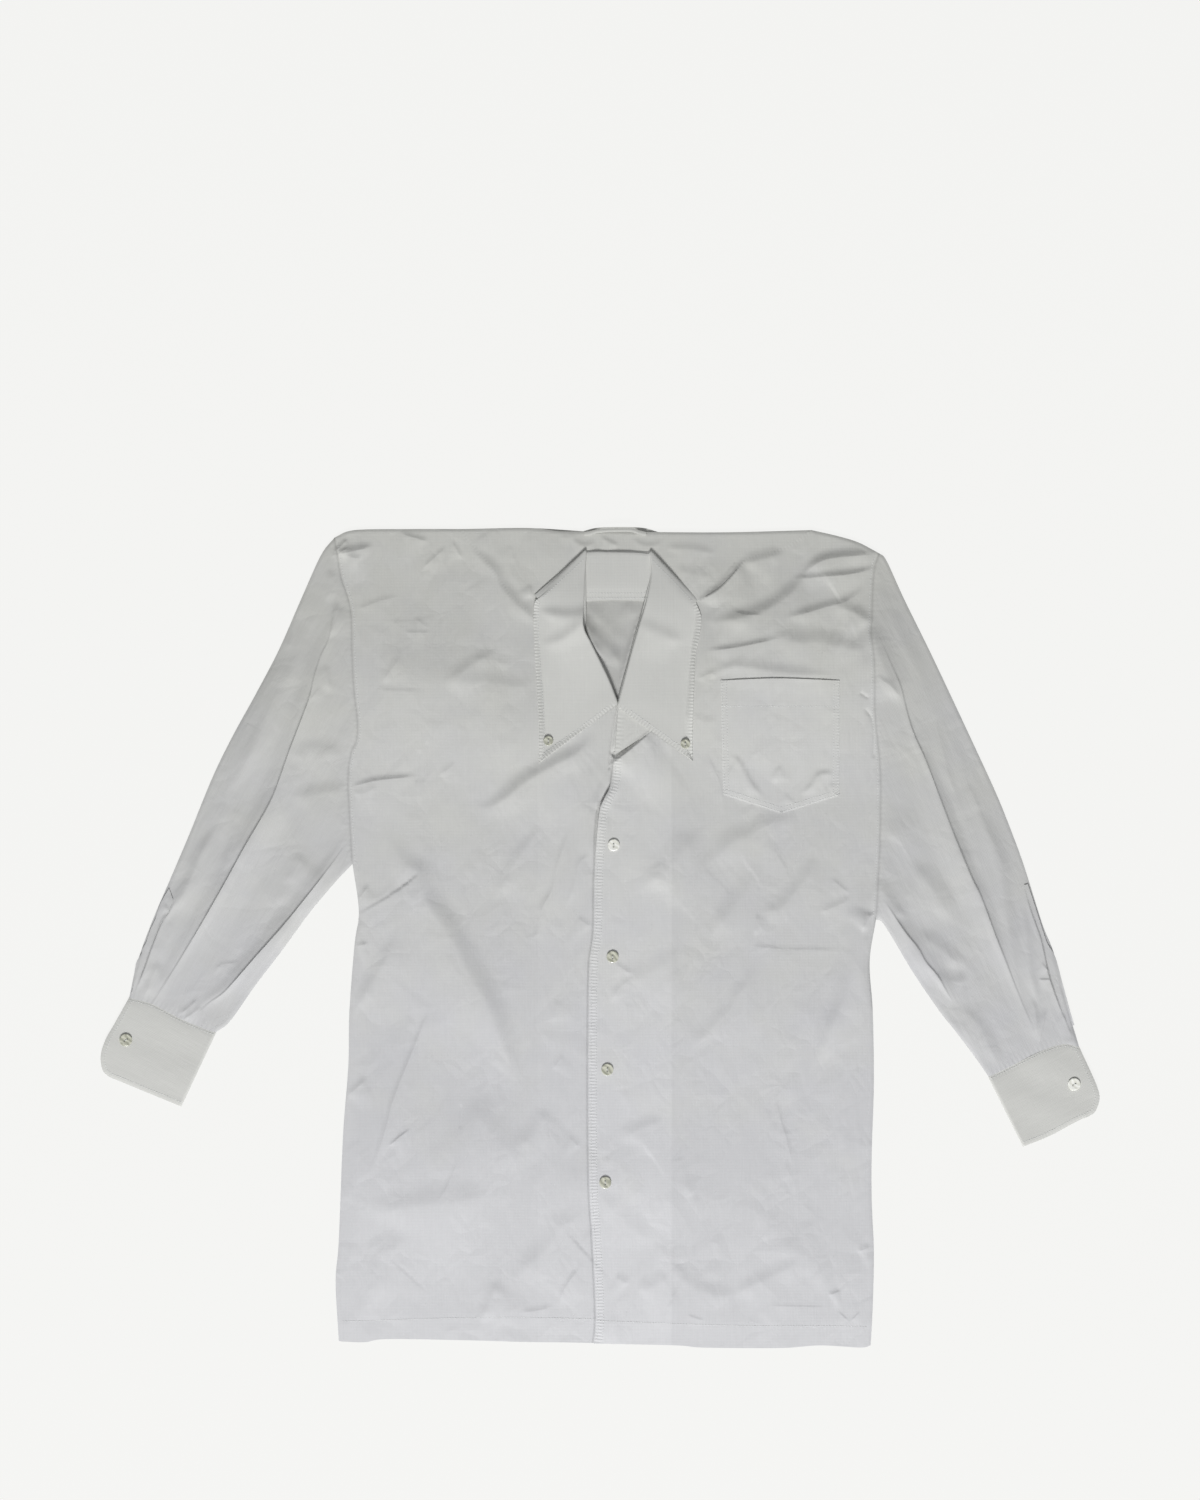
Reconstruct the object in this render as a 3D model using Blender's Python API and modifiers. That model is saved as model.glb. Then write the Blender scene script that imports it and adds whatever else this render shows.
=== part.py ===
"""Crumpled button-down shirt, laid flat on its back with its front up.

Lengths in the constants and tables are millimetres, and the model is in metres. The shirt lies on the
plane z = 0. The origin is the middle of its underside, +X is the viewer's right, +Y points to the collar
and +Z is up. Left and right are the viewer's.
"""

import math
from collections import namedtuple

import bmesh
import bpy
import numpy as np
from mathutils import Vector
from mathutils.bvhtree import BVHTree
from mathutils.geometry import delaunay_2d_cdt

MM = 0.001

# Walls, and the gaps between pieces
CLOTH = 1.2
STIFF = 1.2
CUFF_WALL = 1.4
GAP = 0.3
SEAM_GAP = 0.6
TOP_LAYER = CLOTH + GAP
CLOSURE = 30.0

# How far apart a panel's points are in between its folds, and how near a point may be to another
GRID = 25.0
NEAREST = 7.5
CREST_STEP = 18.0

# Over what distance the folds end before an outline, and before the collar and how far out from it
EDGE_FADE = 22.0
COLLAR_FADE = 14.0
COLLAR_CLEAR = 2.0

# How many spans each edge has
SIDE_SPANS = 18
ARMHOLE_SPANS = 14
HEM_SPANS = 12
SEAM_SPANS = 6
NECK_SPANS = 7
LEFT_TOP_SPANS = 6
RIGHT_TOP_SPANS = 4
YOKE_SPANS = 13
SLEEVE_SPANS = 20
CUFF_SPANS = 8
CUFF_DEPTH_SPANS = 4

# Outlines, as x and y along each edge
TOP_LEFT = ((-252, 380), (-233, 387), (-180, 388), (-130, 388))
TOP_MIDDLE = ((-130, 388), (-68, 389), (-37, 386), (-2, 386), (66, 385), (126, 385), (201, 387))
TOP_RIGHT = ((201, 387), (227, 381), (246, 375), (265, 365))
BACK_BULGE = ((-16, 386), (0, 389.5), (38, 389.5), (56, 385))
HEM_LEFT = ((-248, -383), (-224, -384), (-202, -381), (-132, -382), (-55, -384), (24, -384))
HEM_RIGHT = ((-6, -385), (72, -387), (98, -389), (170, -389.5), (209, -387), (247, -389), (257, -387))
SIDE_LEFT = ((-248, -383), (-251, -327), (-248, -287), (-244, -188), (-239, -122), (-238, -71),
             (-233, -6), (-229, 25), (-235, 70))
SIDE_RIGHT = ((257, -387), (259, -349), (260, -297), (258, -250), (258, -204), (260, -139),
              (259, -71), (256, -23), (262, 17))
ARMHOLE_LEFT = ((-235, 70), (-238, 125), (-239, 152), (-236, 177), (-231, 188), (-230, 208),
                (-233, 234), (-235, 270), (-236, 307), (-240, 326), (-246, 344), (-252, 380))
ARMHOLE_RIGHT = ((262, 17), (263, 36), (266, 100), (266, 161), (261, 210), (260, 261), (257, 290),
                 (258, 302), (259, 333), (261, 353), (265, 365))
FREE_EDGE = ((-6, -385), (-4, -356), (-7, -287), (-10, -241), (-11, -179), (-11, -87), (-10, -25),
             (-6, 9), (-5, 64), (-1, 116), (4, 132), (9, 142), (12, 158), (13, 176))
SEAM_LEFT = ((-46, 296), (-63, 307), (-79, 321), (-92, 337), (-109, 361), (-123, 377), (-130, 388))
SEAM_RIGHT = ((72, 309), (94, 321), (113, 333), (127, 347), (140, 361), (172, 370), (201, 387))
NECK_LEFT = ((-46, 296), (-49, 272), (-38, 240), (-14, 217), (12, 207), (43, 198))
NECK_RIGHT = ((13, 176), (44, 200), (64, 235), (74, 273), (72, 309))
NECK_BACK = ((-46, 296), (-36, 310), (-24, 318), (-12, 321), (17, 321.5), (45, 321), (58, 318),
             (66, 314), (72, 309))
SLEEVE_LEFT_OUTER = ((-252, 380), (-265, 363), (-284, 321), (-305, 273), (-327, 231), (-349, 191),
                     (-368, 152), (-390, 98), (-407, 58), (-427, 11), (-440, -26), (-447, -57))
SLEEVE_LEFT_INNER = ((-235, 70), (-252, 52), (-277, 22), (-301, -11), (-327, -45), (-351, -79), (-365, -90))
SLEEVE_RIGHT_OUTER = ((265, 365), (272, 358), (289, 321), (316, 266), (355, 183), (377, 135), (391, 100),
                      (403, 67), (420, 13), (431, -15), (443, -63), (455, -104))
SLEEVE_RIGHT_INNER = ((262, 17), (270, 12), (296, -31), (321, -68), (336, -87), (355, -112), (369, -132))
CUFF_SEAM_LEFT = ((-447, -57), (-425, -63), (-400, -76), (-377, -86), (-365, -90))
CUFF_SEAM_RIGHT = ((455, -104), (440, -101), (418, -108), (386, -124), (369, -132))
CUFF_END_LEFT = ((-447, -57), (-461, -82), (-469, -96), (-473.9, -112), (-472, -126), (-466, -132))
CUFF_END_RIGHT = ((455, -104), (467, -130), (473, -145), (473.9, -154), (470, -165), (463, -170))
CUFF_FOOT_LEFT = ((-466, -132), (-398, -160))
CUFF_FOOT_RIGHT = ((463, -170), (453, -174), (427, -188), (402, -198))
POCKET_LEFT = ((117, 136), (114, 244))
POCKET_RIGHT = ((227, 135), (227, 244))
POCKET_FOOT = ((117, 136), (172, 118), (227, 135))
POCKET_MOUTH = ((114, 244), (167, 246), (227, 244))
COLLAR_AREA = ((-14, 366), (-61, 324), (-63, 300), (-60, 239), (-58, 166), (15, 218), (19, 215),
               (84, 168), (90, 168), (87, 208), (95, 292), (94, 320), (49, 365))
PLACKET_LEFT_OUTER = ((-410, 46), (-424, 14), (-436, -22), (-443.5, -52))
PLACKET_LEFT_INNER = ((-404, 40), (-414, 14), (-426, -14), (-434, -49))
PLACKET_RIGHT_OUTER = ((404, 56), (418, 14), (431, -22), (443, -76))
PLACKET_RIGHT_INNER = ((398, 50), (409, 10), (421, -30), (434, -79))

Fold = namedtuple("Fold", "x0 y0 xm ym x1 y1 half_width height")
FOLDS = tuple(Fold(*row) for row in (
    # the left front
    (-3, 194, -61, 148, -124, 114, 22, 5.5),
    (-214, 98, -146, -2, -82, -126, 24, 6.5),
    (-52, 106, -86, 52, -128, 8, 18, 3.5),
    (-26, 112, -48, 32, -86, -8, 17, 3.5),
    (-192, 6, -214, -40, -236, -76, 17, 3.0),
    (-160, -60, -192, -140, -216, -216, 20, 4.0),
    (-112, -166, -84, -196, -58, -226, 18, 4.0),
    (-16, -262, -62, -302, -114, -362, 20, 5.5),
    (-216, -262, -170, -254, -106, -252, 20, 3.0),
    (-222, -346, -214, -312, -180, -288, 18, 3.0),
    (-230, 141, -205, 140, -176, 148, 17, 4.0),
    (-186, 264, -206, 238, -224, 216, 18, 3.0),
    (-230, 306, -214, 312, -192, 318, 18, 3.0),
    (-142, 246, -100, 238, -66, 232, 18, 3.0),
    (-176, 372, -168, 356, -190, 340, 16, 2.5),
    # beside the collar, across the seams of the yoke
    (-112, 380, -88, 348, -66, 322, 17, 4.5),
    (100, 312, 130, 336, 176, 362, 17, 4.5),
    # the right front
    (142, 306, 186, 326, 250, 356, 18, 5.0),
    (196, 306, 222, 316, 250, 324, 17, 3.5),
    (106, 268, 138, 274, 174, 282, 17, 3.5),
    (176, 280, 200, 268, 248, 270, 17, 3.5),
    (96, 102, 64, 72, 34, 46, 20, 4.5),
    (166, 108, 132, 90, 104, 72, 17, 4.0),
    (147, 62, 118, 18, 96, -6, 17, 3.5),
    (206, 72, 178, 38, 154, 20, 17, 3.0),
    (150, 18, 152, -14, 206, -22, 17, 3.0),
    (252, 30, 244, 0, 230, -36, 17, 3.0),
    (2, -246, 36, -276, 78, -314, 20, 5.0),
    (34, -336, 108, -340, 186, -310, 20, 4.0),
    (66, -202, 80, -232, 98, -264, 18, 3.0),
    (164, -152, 186, -224, 214, -336, 18, 4.0),
    (20, -196, 40, -186, 62, -176, 17, 3.0),
    # the sleeves
    (-266, 268, -331, 94, -420, -54, 17, 4.5),
    (-246, 84, -308, 2, -378, -72, 15, 3.0),
    (-362, 104, -388, 66, -408, 30, 14, 2.5),
    (-288, 82, -298, 60, -309, 34, 14, 2.5),
    (277, 252, 346, 80, 412, -92, 17, 4.5),
    (268, 36, 316, -36, 374, -108, 15, 3.0),
    (300, 240, 318, 200, 332, 152, 14, 2.5),
    (361, 120, 378, 84, 384, 40, 14, 2.5),
))

Swell = namedtuple("Swell", "x y reach_x reach_y height")
SWELLS = tuple(Swell(*row) for row in (
    (-150, 200, 80, 110, 2.4),
    (-110, -60, 90, 110, 2.6),
    (-150, -250, 90, 100, 2.0),
    (160, 190, 80, 100, 1.6),
    (150, -60, 90, 120, 2.6),
    (140, -240, 90, 100, 2.2),
    (20, 352, 130, 34, 0.8),
    (-330, 120, 90, 150, 1.6),
    (345, 90, 90, 150, 1.6),
))

# The fall of the collar, from the foot of the left leaf round behind the neck to the foot of the right
# one. Each row is a section from the roll line to the free edge, at the middle of the wall.
Section = namedtuple("Section", "roll_x roll_y roll_z edge_x edge_y edge_z crown")
LEFT_LEAF = tuple(Section(*row) for row in (
    (16.2, 221.5, 5.4, -58, 166, 3.6, 0.4),
    (13.5, 229, 5.5, -57.5, 185, 3.6, 0.6),
    (8, 243, 5.7, -57.5, 207, 3.6, 0.9),
    (-1, 262, 6.1, -59.5, 236, 3.6, 1.2),
    (-10, 280, 6.5, -61.5, 266, 3.6, 1.2),
    (-17, 296, 7.0, -62.5, 288, 3.7, 1.4),
    (-16.5, 320, 8.1, -63, 308, 4.2, 1.4),
    (-15.5, 345, 8.2, -61.5, 322, 5.4, 1.0),
    (-14.5, 366.5, 8.1, -59.5, 324, 5.7, 0.4),
))
UNDER_THE_BACK = tuple(Section(*row) for row in (
    (-14.5, 369, 5.8, -61.8, 325.5, 4.6, 0.0),
    (-12, 366.5, 3.6, -59.0, 327, 3.6, 0.0),
    (0, 366, 3.6, -30, 337, 3.6, 0.0),
    (17, 365.5, 3.6, 17, 339, 3.6, 0.0),
    (34, 366, 3.6, 64, 336, 3.6, 0.0),
    (46, 366, 3.6, 91, 323, 3.6, 0.0),
    (49.5, 368, 5.8, 94.8, 321.5, 4.6, 0.0),
))
RIGHT_LEAF = tuple(Section(*row) for row in (
    (49, 365.5, 8.1, 92.5, 320.5, 5.7, 0.4),
    (50.5, 348, 8.2, 95, 312, 5.4, 1.0),
    (45.5, 320, 8.1, 96, 302, 4.2, 1.4),
    (38.5, 296, 7.2, 94, 286, 3.7, 1.4),
    (31, 270, 6.9, 90, 268, 3.6, 1.2),
    (25, 247, 6.8, 89, 238, 3.6, 1.3),
    (20.5, 230, 6.9, 88, 212, 3.6, 1.3),
    (19, 222, 6.8, 87.5, 189, 3.6, 1.0),
    (20, 217, 6.8, 88, 168, 3.6, 0.9),
))

# The stand, from its left front end round the back of the neck to its right front end. Each row is a
# section from the roll line to the neck seam, at the middle of the wall. The two front parts are folded
# over the back part.
Band = namedtuple("Band", "roll_x roll_y roll_z seam_x seam_y seam_z")
STAND_LEFT = tuple(Band(*row) for row in (
    (9, 236, 3.8, -5, 211, 3.6),
    (1, 253, 4.0, -26, 224, 3.6),
    (-7, 270, 4.4, -42, 246, 3.6),
    (-14, 287, 5.0, -50, 268, 3.6),
    (-14.5, 304, 5.8, -50, 284, 3.8),
    (-14.5, 324, 6.6, -49, 294, 4.6),
    (-14.5, 344, 6.6, -48.5, 299, 5.2),
    (-15, 362.5, 6.6, -47.5, 302, 5.3),
))
STAND_BACK = tuple(Band(*row) for row in (
    (-14.5, 364.5, 5.85, -48.5, 303.5, 4.5),
    (-12, 362.5, 5.1, -45.5, 304, 3.8),
    (-4, 363, 5.1, -31, 312.5, 3.7),
    (5, 363, 5.1, -13, 319, 3.7),
    (17, 363, 5.1, 16, 320.4, 3.7),
    (29, 363, 5.1, 45, 319, 3.7),
    (38, 363, 5.1, 62, 313, 3.7),
    (45.5, 362.5, 5.1, 75, 306, 3.8),
    (48, 364.5, 5.85, 78, 305.5, 4.5),
))
STAND_RIGHT = tuple(Band(*row) for row in (
    (48.5, 362.5, 6.6, 77.5, 304, 5.3),
    (49, 344, 6.6, 79.5, 300, 5.2),
    (44.5, 324, 6.6, 80, 294, 4.6),
    (39.5, 304, 5.8, 80, 281, 3.8),
    (33.5, 284, 5.2, 77, 258, 3.6),
    (28.5, 264, 5.1, 70, 232, 3.6),
    (23, 244, 5.1, 60, 212, 4.4),
    (19, 228, 5.1, 48, 196.5, 5.1),
    (17.2, 216.8, 5.1, 14, 173.5, 5.1),
))
STAND_ACROSS = (0.0, 0.25, 0.5, 0.7, 0.84, 1.0)
FALL_ACROSS = (0.0, 0.12, 0.3, 0.52, 0.7, 0.85, 1.0)

# The hanger loop: x, y and height of the strip's two edges along its length
Strip = namedtuple("Strip", "x low_y high_y height")
LOOP_SECTIONS = tuple(Strip(*row) for row in (
    (-15, 381.5, 385, 3.0),
    (-9, 382, 386, 3.0),
    (-3, 384, 387.4, 4.0),
    (8, 385, 388, 5.0),
    (20, 385.2, 388.2, 5.2),
    (31, 384.8, 388.2, 4.8),
    (37, 382.5, 386.6, 3.6),
    (44, 381.5, 385, 3.0),
))

# Buttons: outer diameter, thickness, and where each one lies
FRONT_BUTTON = (11.3, 2.4)
COLLAR_BUTTON = (9.0, 2.2)
CUFF_BUTTON = (12.0, 2.4)
FRONT_BUTTON_PLACES = ((13, 88), (12, -18), (7, -125), (5, -232))
COLLAR_BUTTON_PLACES = {"left": (-49, 187), "right": (81, 184)}
CUFF_BUTTON_PLACES = {"left": (-450, -97), "right": (450, -139)}
HOLE_RADIUS = 0.8
HOLE_SPACING = 3.0
BUTTON_STEPS = 20

Finish = namedtuple("Finish", "colour roughness")
POPLIN = Finish((0.60, 0.61, 0.62), 0.85)
POPLIN_STIFF = Finish((0.60, 0.61, 0.58), 0.85)
SHELL = Finish((0.42, 0.43, 0.36), 0.25)


def smoothstep(value):
    value = np.clip(value, 0.0, 1.0)
    return value * value * (3.0 - 2.0 * value)


def smooth_path(points, spans):
    """Evenly spaced points, one more than the spans, on a smooth line through the given ones."""
    points = np.array(points, float)
    ends = np.vstack([2 * points[0] - points[1], points, 2 * points[-1] - points[-2]])
    dense = []
    for a, b, c, d in zip(ends[:-3], ends[1:-2], ends[2:-1], ends[3:]):
        for t in np.linspace(0, 1, 12, endpoint=False):
            dense.append(0.5 * (2 * b + (c - a) * t + (2 * a - 5 * b + 4 * c - d) * t * t
                                + (3 * b - a - 3 * c + d) * t ** 3))
    dense = np.array(dense + [points[-1]])
    along = np.concatenate([[0], np.cumsum(np.linalg.norm(np.diff(dense, axis=0), axis=1))])
    wanted = np.linspace(0, along[-1], spans + 1)
    return np.stack([np.interp(wanted, along, column) for column in dense.T], axis=1)


def joined(*paths):
    """Paths that follow each other, as one, without the points that two of them share."""
    return np.vstack([paths[0]] + [path[1:] for path in paths[1:]])


def moved_aside(path, distance):
    """The path moved to its left, seen along its direction."""
    direction = np.gradient(path, axis=0)
    direction /= np.linalg.norm(direction, axis=1)[:, None]
    return path + distance * np.stack([-direction[:, 1], direction[:, 0]], axis=1)


def patch(left, right, foot, head):
    """A grid of places that fills four edges: rows run from foot to head, columns from left to right."""
    s = np.linspace(0, 1, len(foot))[None, :, None]
    t = np.linspace(0, 1, len(left))[:, None, None]
    sides = (1 - s) * left[:, None] + s * right[:, None]
    ends = (1 - t) * foot[None] + t * head[None]
    corners = ((1 - s) * (1 - t) * foot[0] + s * (1 - t) * foot[-1]
               + (1 - s) * t * head[0] + s * t * head[-1])
    return sides + ends - corners


def distance_to(places, path):
    """How far each place is from a path, and how far along the path its nearest point is, from 0 to 1."""
    start, end = path[:-1], path[1:]
    step = end - start
    length = np.linalg.norm(step, axis=1)
    before = np.concatenate([[0], np.cumsum(length)[:-1]])
    share = ((places[:, None] - start) * step).sum(2) / np.maximum(length ** 2, 1e-9)
    share = np.clip(share, 0, 1)
    off = np.linalg.norm(places[:, None] - start - share[:, :, None] * step, axis=2)
    nearest = off.argmin(axis=1)
    row = np.arange(len(places))
    along = (before[nearest] + share[row, nearest] * length[nearest]) / length.sum()
    return off[row, nearest], along


def inside(places, outline):
    """Whether each place lies inside a closed outline."""
    x, y = places[:, 0], places[:, 1]
    found = np.zeros(len(places), bool)
    for (x0, y0), (x1, y1) in zip(outline, np.roll(outline, -1, axis=0)):
        if y0 == y1:
            continue
        crosses = (y0 > y) != (y1 > y)
        found ^= crosses & (x < x0 + (y - y0) * (x1 - x0) / (y1 - y0))
    return found


def filled(outline, lines):
    """Places that fill an outline, first its own, then those along the lines, then a staggered grid.

    It returns the places and the triangles between them.
    """
    ring = np.vstack([outline, outline[:1]])
    places, edges = list(outline), []
    low, high = outline.min(axis=0), outline.max(axis=0)

    def taken(place):
        near = np.hypot(*(np.array(places) - place).T).min() < NEAREST
        return near or not inside(place[None], outline)[0] or distance_to(place[None], ring)[0][0] < NEAREST

    for line in lines:
        last = None
        for place in line:
            if taken(place):
                last = None
                continue
            places.append(place)
            if last is not None:
                edges.append((last, len(places) - 1))
            last = len(places) - 1
    spacing = 0.72 * GRID
    for row, y in enumerate(np.arange(low[1] + 0.5 * GRID, high[1], 0.87 * GRID)):
        for x in np.arange(low[0] + (0.25 + 0.5 * (row % 2)) * GRID, high[0], GRID):
            place = np.array((x, y))
            near = np.hypot(*(np.array(places) - place).T).min() < spacing
            if not near and not taken(place):
                places.append(place)
    result = delaunay_2d_cdt([Vector(place) for place in places], edges, [list(range(len(outline)))], 1, 1e-4)
    triangles = [tuple(face) for face in result[2]]
    return np.array([tuple(place) for place in result[0]]), triangles


# The edges as points that neighbouring pieces share
side_left = smooth_path(SIDE_LEFT, SIDE_SPANS)
side_right = smooth_path(SIDE_RIGHT, SIDE_SPANS)
armhole_left = smooth_path(ARMHOLE_LEFT, ARMHOLE_SPANS)
armhole_right = smooth_path(ARMHOLE_RIGHT, ARMHOLE_SPANS)
free_edge = smooth_path(FREE_EDGE, SIDE_SPANS + ARMHOLE_SPANS)
seam_left = smooth_path(SEAM_LEFT, SEAM_SPANS)
seam_right = smooth_path(SEAM_RIGHT, SEAM_SPANS)
top_left = smooth_path(TOP_LEFT, LEFT_TOP_SPANS)
top_right = smooth_path(TOP_RIGHT, RIGHT_TOP_SPANS)
top_middle = smooth_path(TOP_MIDDLE, YOKE_SPANS)
collar_ring = moved_aside(smooth_path(COLLAR_AREA + COLLAR_AREA[:1], 36), -COLLAR_CLEAR)
EDGES_WHERE_FOLDS_END = tuple(smooth_path(path, 40) for path in (
    SIDE_LEFT, SIDE_RIGHT, HEM_LEFT, HEM_RIGHT, TOP_LEFT, TOP_MIDDLE, TOP_RIGHT, SLEEVE_LEFT_OUTER,
    SLEEVE_LEFT_INNER, SLEEVE_RIGHT_OUTER, SLEEVE_RIGHT_INNER, CUFF_SEAM_LEFT, CUFF_SEAM_RIGHT))


def fold_lines():
    """The crest and both feet of each fold, which the panels have points along."""
    crests, feet = [], []
    for fold in FOLDS:
        ends = ((fold.x0, fold.y0), (fold.xm, fold.ym), (fold.x1, fold.y1))
        length = math.dist(ends[0], ends[1]) + math.dist(ends[1], ends[2])
        crest = smooth_path(ends, max(3, round(length / CREST_STEP)))
        crests.append(crest)
        feet += [moved_aside(crest, fold.half_width), moved_aside(crest, -fold.half_width)]
    return crests + feet


def rise(places):
    """How far the top layer stands above where it would lie flat."""
    height = np.zeros(len(places))
    for fold in FOLDS:
        crest = smooth_path(((fold.x0, fold.y0), (fold.xm, fold.ym), (fold.x1, fold.y1)), 12)
        off, along = distance_to(places, crest)
        ridge = 0.5 + 0.5 * np.cos(np.pi * np.clip(off / fold.half_width, 0, 1))
        height += fold.height * ridge * smoothstep(np.minimum(along, 1 - along) / 0.2)
    for swell in SWELLS:
        away = np.hypot((places[:, 0] - swell.x) / swell.reach_x, (places[:, 1] - swell.y) / swell.reach_y)
        height += swell.height * smoothstep(1 - away)
    for edge in EDGES_WHERE_FOLDS_END:
        height *= smoothstep(distance_to(places, edge)[0] / EDGE_FADE)
    away = distance_to(places, np.array(COLLAR_AREA + COLLAR_AREA[:1], float))[0]
    clear = smoothstep((away - COLLAR_CLEAR) / COLLAR_FADE)
    return np.where(inside(places, np.array(COLLAR_AREA, float)), 0.0, height * clear)


def free_edge_x(y):
    """Where the right front's free edge runs, at each y."""
    order = free_edge[:, 1].argsort()
    return np.interp(y, free_edge[order, 1], free_edge[order, 0])


def left_front_height(places):
    """The left front's underside. Its folds end just before the right front covers it."""
    before_edge = free_edge_x(places[:, 1]) - places[:, 0]
    return TOP_LAYER + rise(places) * smoothstep((before_edge - 2) / 16)


def right_front_height(places):
    """The right front's underside. It climbs onto the left front at the closure."""
    past_closure = places[:, 0] - free_edge_x(places[:, 1]) - CLOSURE
    step = (CLOTH + GAP) * (1 - smoothstep((past_closure - 10) / 20))
    return TOP_LAYER + rise(places) + step


def yoke_height(places):
    return TOP_LAYER + rise(places)


def object_of(name, vertices, faces):
    """An object from places in millimetres."""
    mesh = bpy.data.meshes.new(name)
    mesh.from_pydata([tuple(float(c) * MM for c in vertex) for vertex in vertices], [], faces)
    mesh.update()
    made = bpy.data.objects.new(name, mesh)
    shirt.objects.link(made)
    return made


def grid_faces(rows, columns):
    """The faces of a grid that is stored row by row, seen from above with rows going up the page."""
    return [(r * columns + c, r * columns + c + 1, (r + 1) * columns + c + 1, (r + 1) * columns + c)
            for r in range(rows - 1) for c in range(columns - 1)]


def smooth_shade(made, angle=50):
    made.data.shade_smooth()
    made.data.set_sharp_from_angle(angle=math.radians(angle))


def given_wall(made, wall, side):
    """A wall for an open surface. The side is 1 for a wall above the surface and 0 for one round it."""
    smooth_shade(made)
    solidify = made.modifiers.new("wall", "SOLIDIFY")
    solidify.thickness = wall * MM
    solidify.offset = side
    return made


def cloth_panel(name, grid, wall, side):
    """A piece of cloth through a grid of points."""
    rows, columns = grid.shape[:2]
    return given_wall(object_of(name, grid.reshape(-1, 3), grid_faces(rows, columns)), wall, side)


def cut_panel(name, outline, lines, height_of):
    """A piece of cloth inside an outline, with the height that a function gives each place."""
    places, triangles = filled(outline, lines)
    return given_wall(object_of(name, np.column_stack([places, height_of(places)]), triangles), CLOTH, 1)


def with_height(plan, height_of):
    """A grid of places with the height that a function gives each."""
    flat = plan.reshape(-1, 2)
    return np.column_stack([flat, height_of(flat)]).reshape(*plan.shape[:2], 3)


def evaluated_tree(made):
    """The finished solid of an object, to measure from."""
    bpy.context.view_layer.update()
    return BVHTree.FromObject(made, bpy.context.evaluated_depsgraph_get())


def height_below(trees, x, y):
    """The highest point of some solids at one place, or None where there is none."""
    found = None
    for tree in trees:
        hit = tree.ray_cast(Vector((x * MM, y * MM, 1.0)), Vector((0, 0, -1)))[0]
        if hit is not None:
            found = hit.z / MM if found is None else max(found, hit.z / MM)
    return found


AROUND = [(0, 0)] + [(r * math.cos(a), r * math.sin(a)) for r in (0.5, 1.0)
                     for a in np.linspace(0, 2 * math.pi, 9)[:-1]]


def laid_on(grid, trees, reach):
    """The grid raised wherever it would come nearer than the gap to what lies within reach below it."""
    raised = grid.copy()
    for point in raised.reshape(-1, 3):
        for dx, dy in AROUND:
            below = height_below(trees, point[0] + reach * dx, point[1] + reach * dy)
            if below is not None:
                point[2] = max(point[2], below + GAP)
    return raised


def make_back():
    """The back: one flat outline, from the hem to the fold at the top."""
    head = joined(smooth_path(TOP_LEFT, 3), smooth_path(((-130, 388), (-68, 389), (-16, 386)), 2),
                  smooth_path(BACK_BULGE, 4), smooth_path(((56, 385), (126, 385), (201, 387)), 2), top_right)
    left = joined(smooth_path(SIDE_LEFT, 12), armhole_left[::2])
    right = joined(smooth_path(SIDE_RIGHT, 12), armhole_right[::2])
    foot = joined(smooth_path(HEM_LEFT[:-1], 4), smooth_path(((-55, -384),) + HEM_RIGHT[1:], 6))
    outline = np.vstack([foot[:-1], right[:-1], head[::-1][:-1], left[::-1][:-1]])
    curve = bpy.data.curves.new("back", "CURVE")
    curve.dimensions = "2D"
    curve.fill_mode = "BOTH"
    curve.extrude = 0.5 * CLOTH * MM
    spline = curve.splines.new("POLY")
    spline.points.add(len(outline) - 1)
    spline.use_cyclic_u = True
    for point, (x, y) in zip(spline.points, outline):
        point.co = (x * MM, y * MM, 0, 1)
    made = bpy.data.objects.new("back", curve)
    made.location.z = 0.5 * CLOTH * MM
    shirt.objects.link(made)
    return made


def make_yoke():
    """The cloth behind the collar, from the fold at the top to the neck."""
    outline = np.vstack([top_middle[1:-1], moved_aside(seam_right, SEAM_GAP)[::-1],
                         smooth_path(NECK_BACK, YOKE_SPANS)[::-1][1:-1], moved_aside(seam_left, -SEAM_GAP)])
    return cut_panel("yoke", outline, fold_lines() + [collar_ring], yoke_height)


def make_front_left():
    """The left front, whose free edge is hidden under the right one."""
    hidden_edge = smooth_path([(x + CLOSURE, y) for x, y in FREE_EDGE[:-1]] + [(43, 198)], SIDE_SPANS)
    outline = np.vstack([smooth_path(HEM_LEFT, HEM_SPANS), hidden_edge[1:],
                         smooth_path(NECK_LEFT, NECK_SPANS)[::-1][1:], seam_left[1:], top_left[::-1][1:],
                         armhole_left[::-1][1:], side_left[::-1][1:-1]])
    lines = [free_edge - (2, 0), free_edge - (18, 0), collar_ring] + fold_lines()
    return cut_panel("front_left", outline, lines, left_front_height)


def make_front_right():
    """The right front, which lies on the left one at the closure."""
    outline = np.vstack([smooth_path(HEM_RIGHT, HEM_SPANS), side_right[1:], armhole_right[1:],
                         top_right[::-1][1:], seam_right[::-1][1:], smooth_path(NECK_RIGHT, NECK_SPANS)[::-1][1:],
                         free_edge[::-1][1:-1]])
    lines = [collar_ring] + fold_lines() + [free_edge + (CLOSURE + 10, 0), free_edge + (CLOSURE + 30, 0)]
    return cut_panel("front_right", outline, lines, right_front_height)


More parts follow.
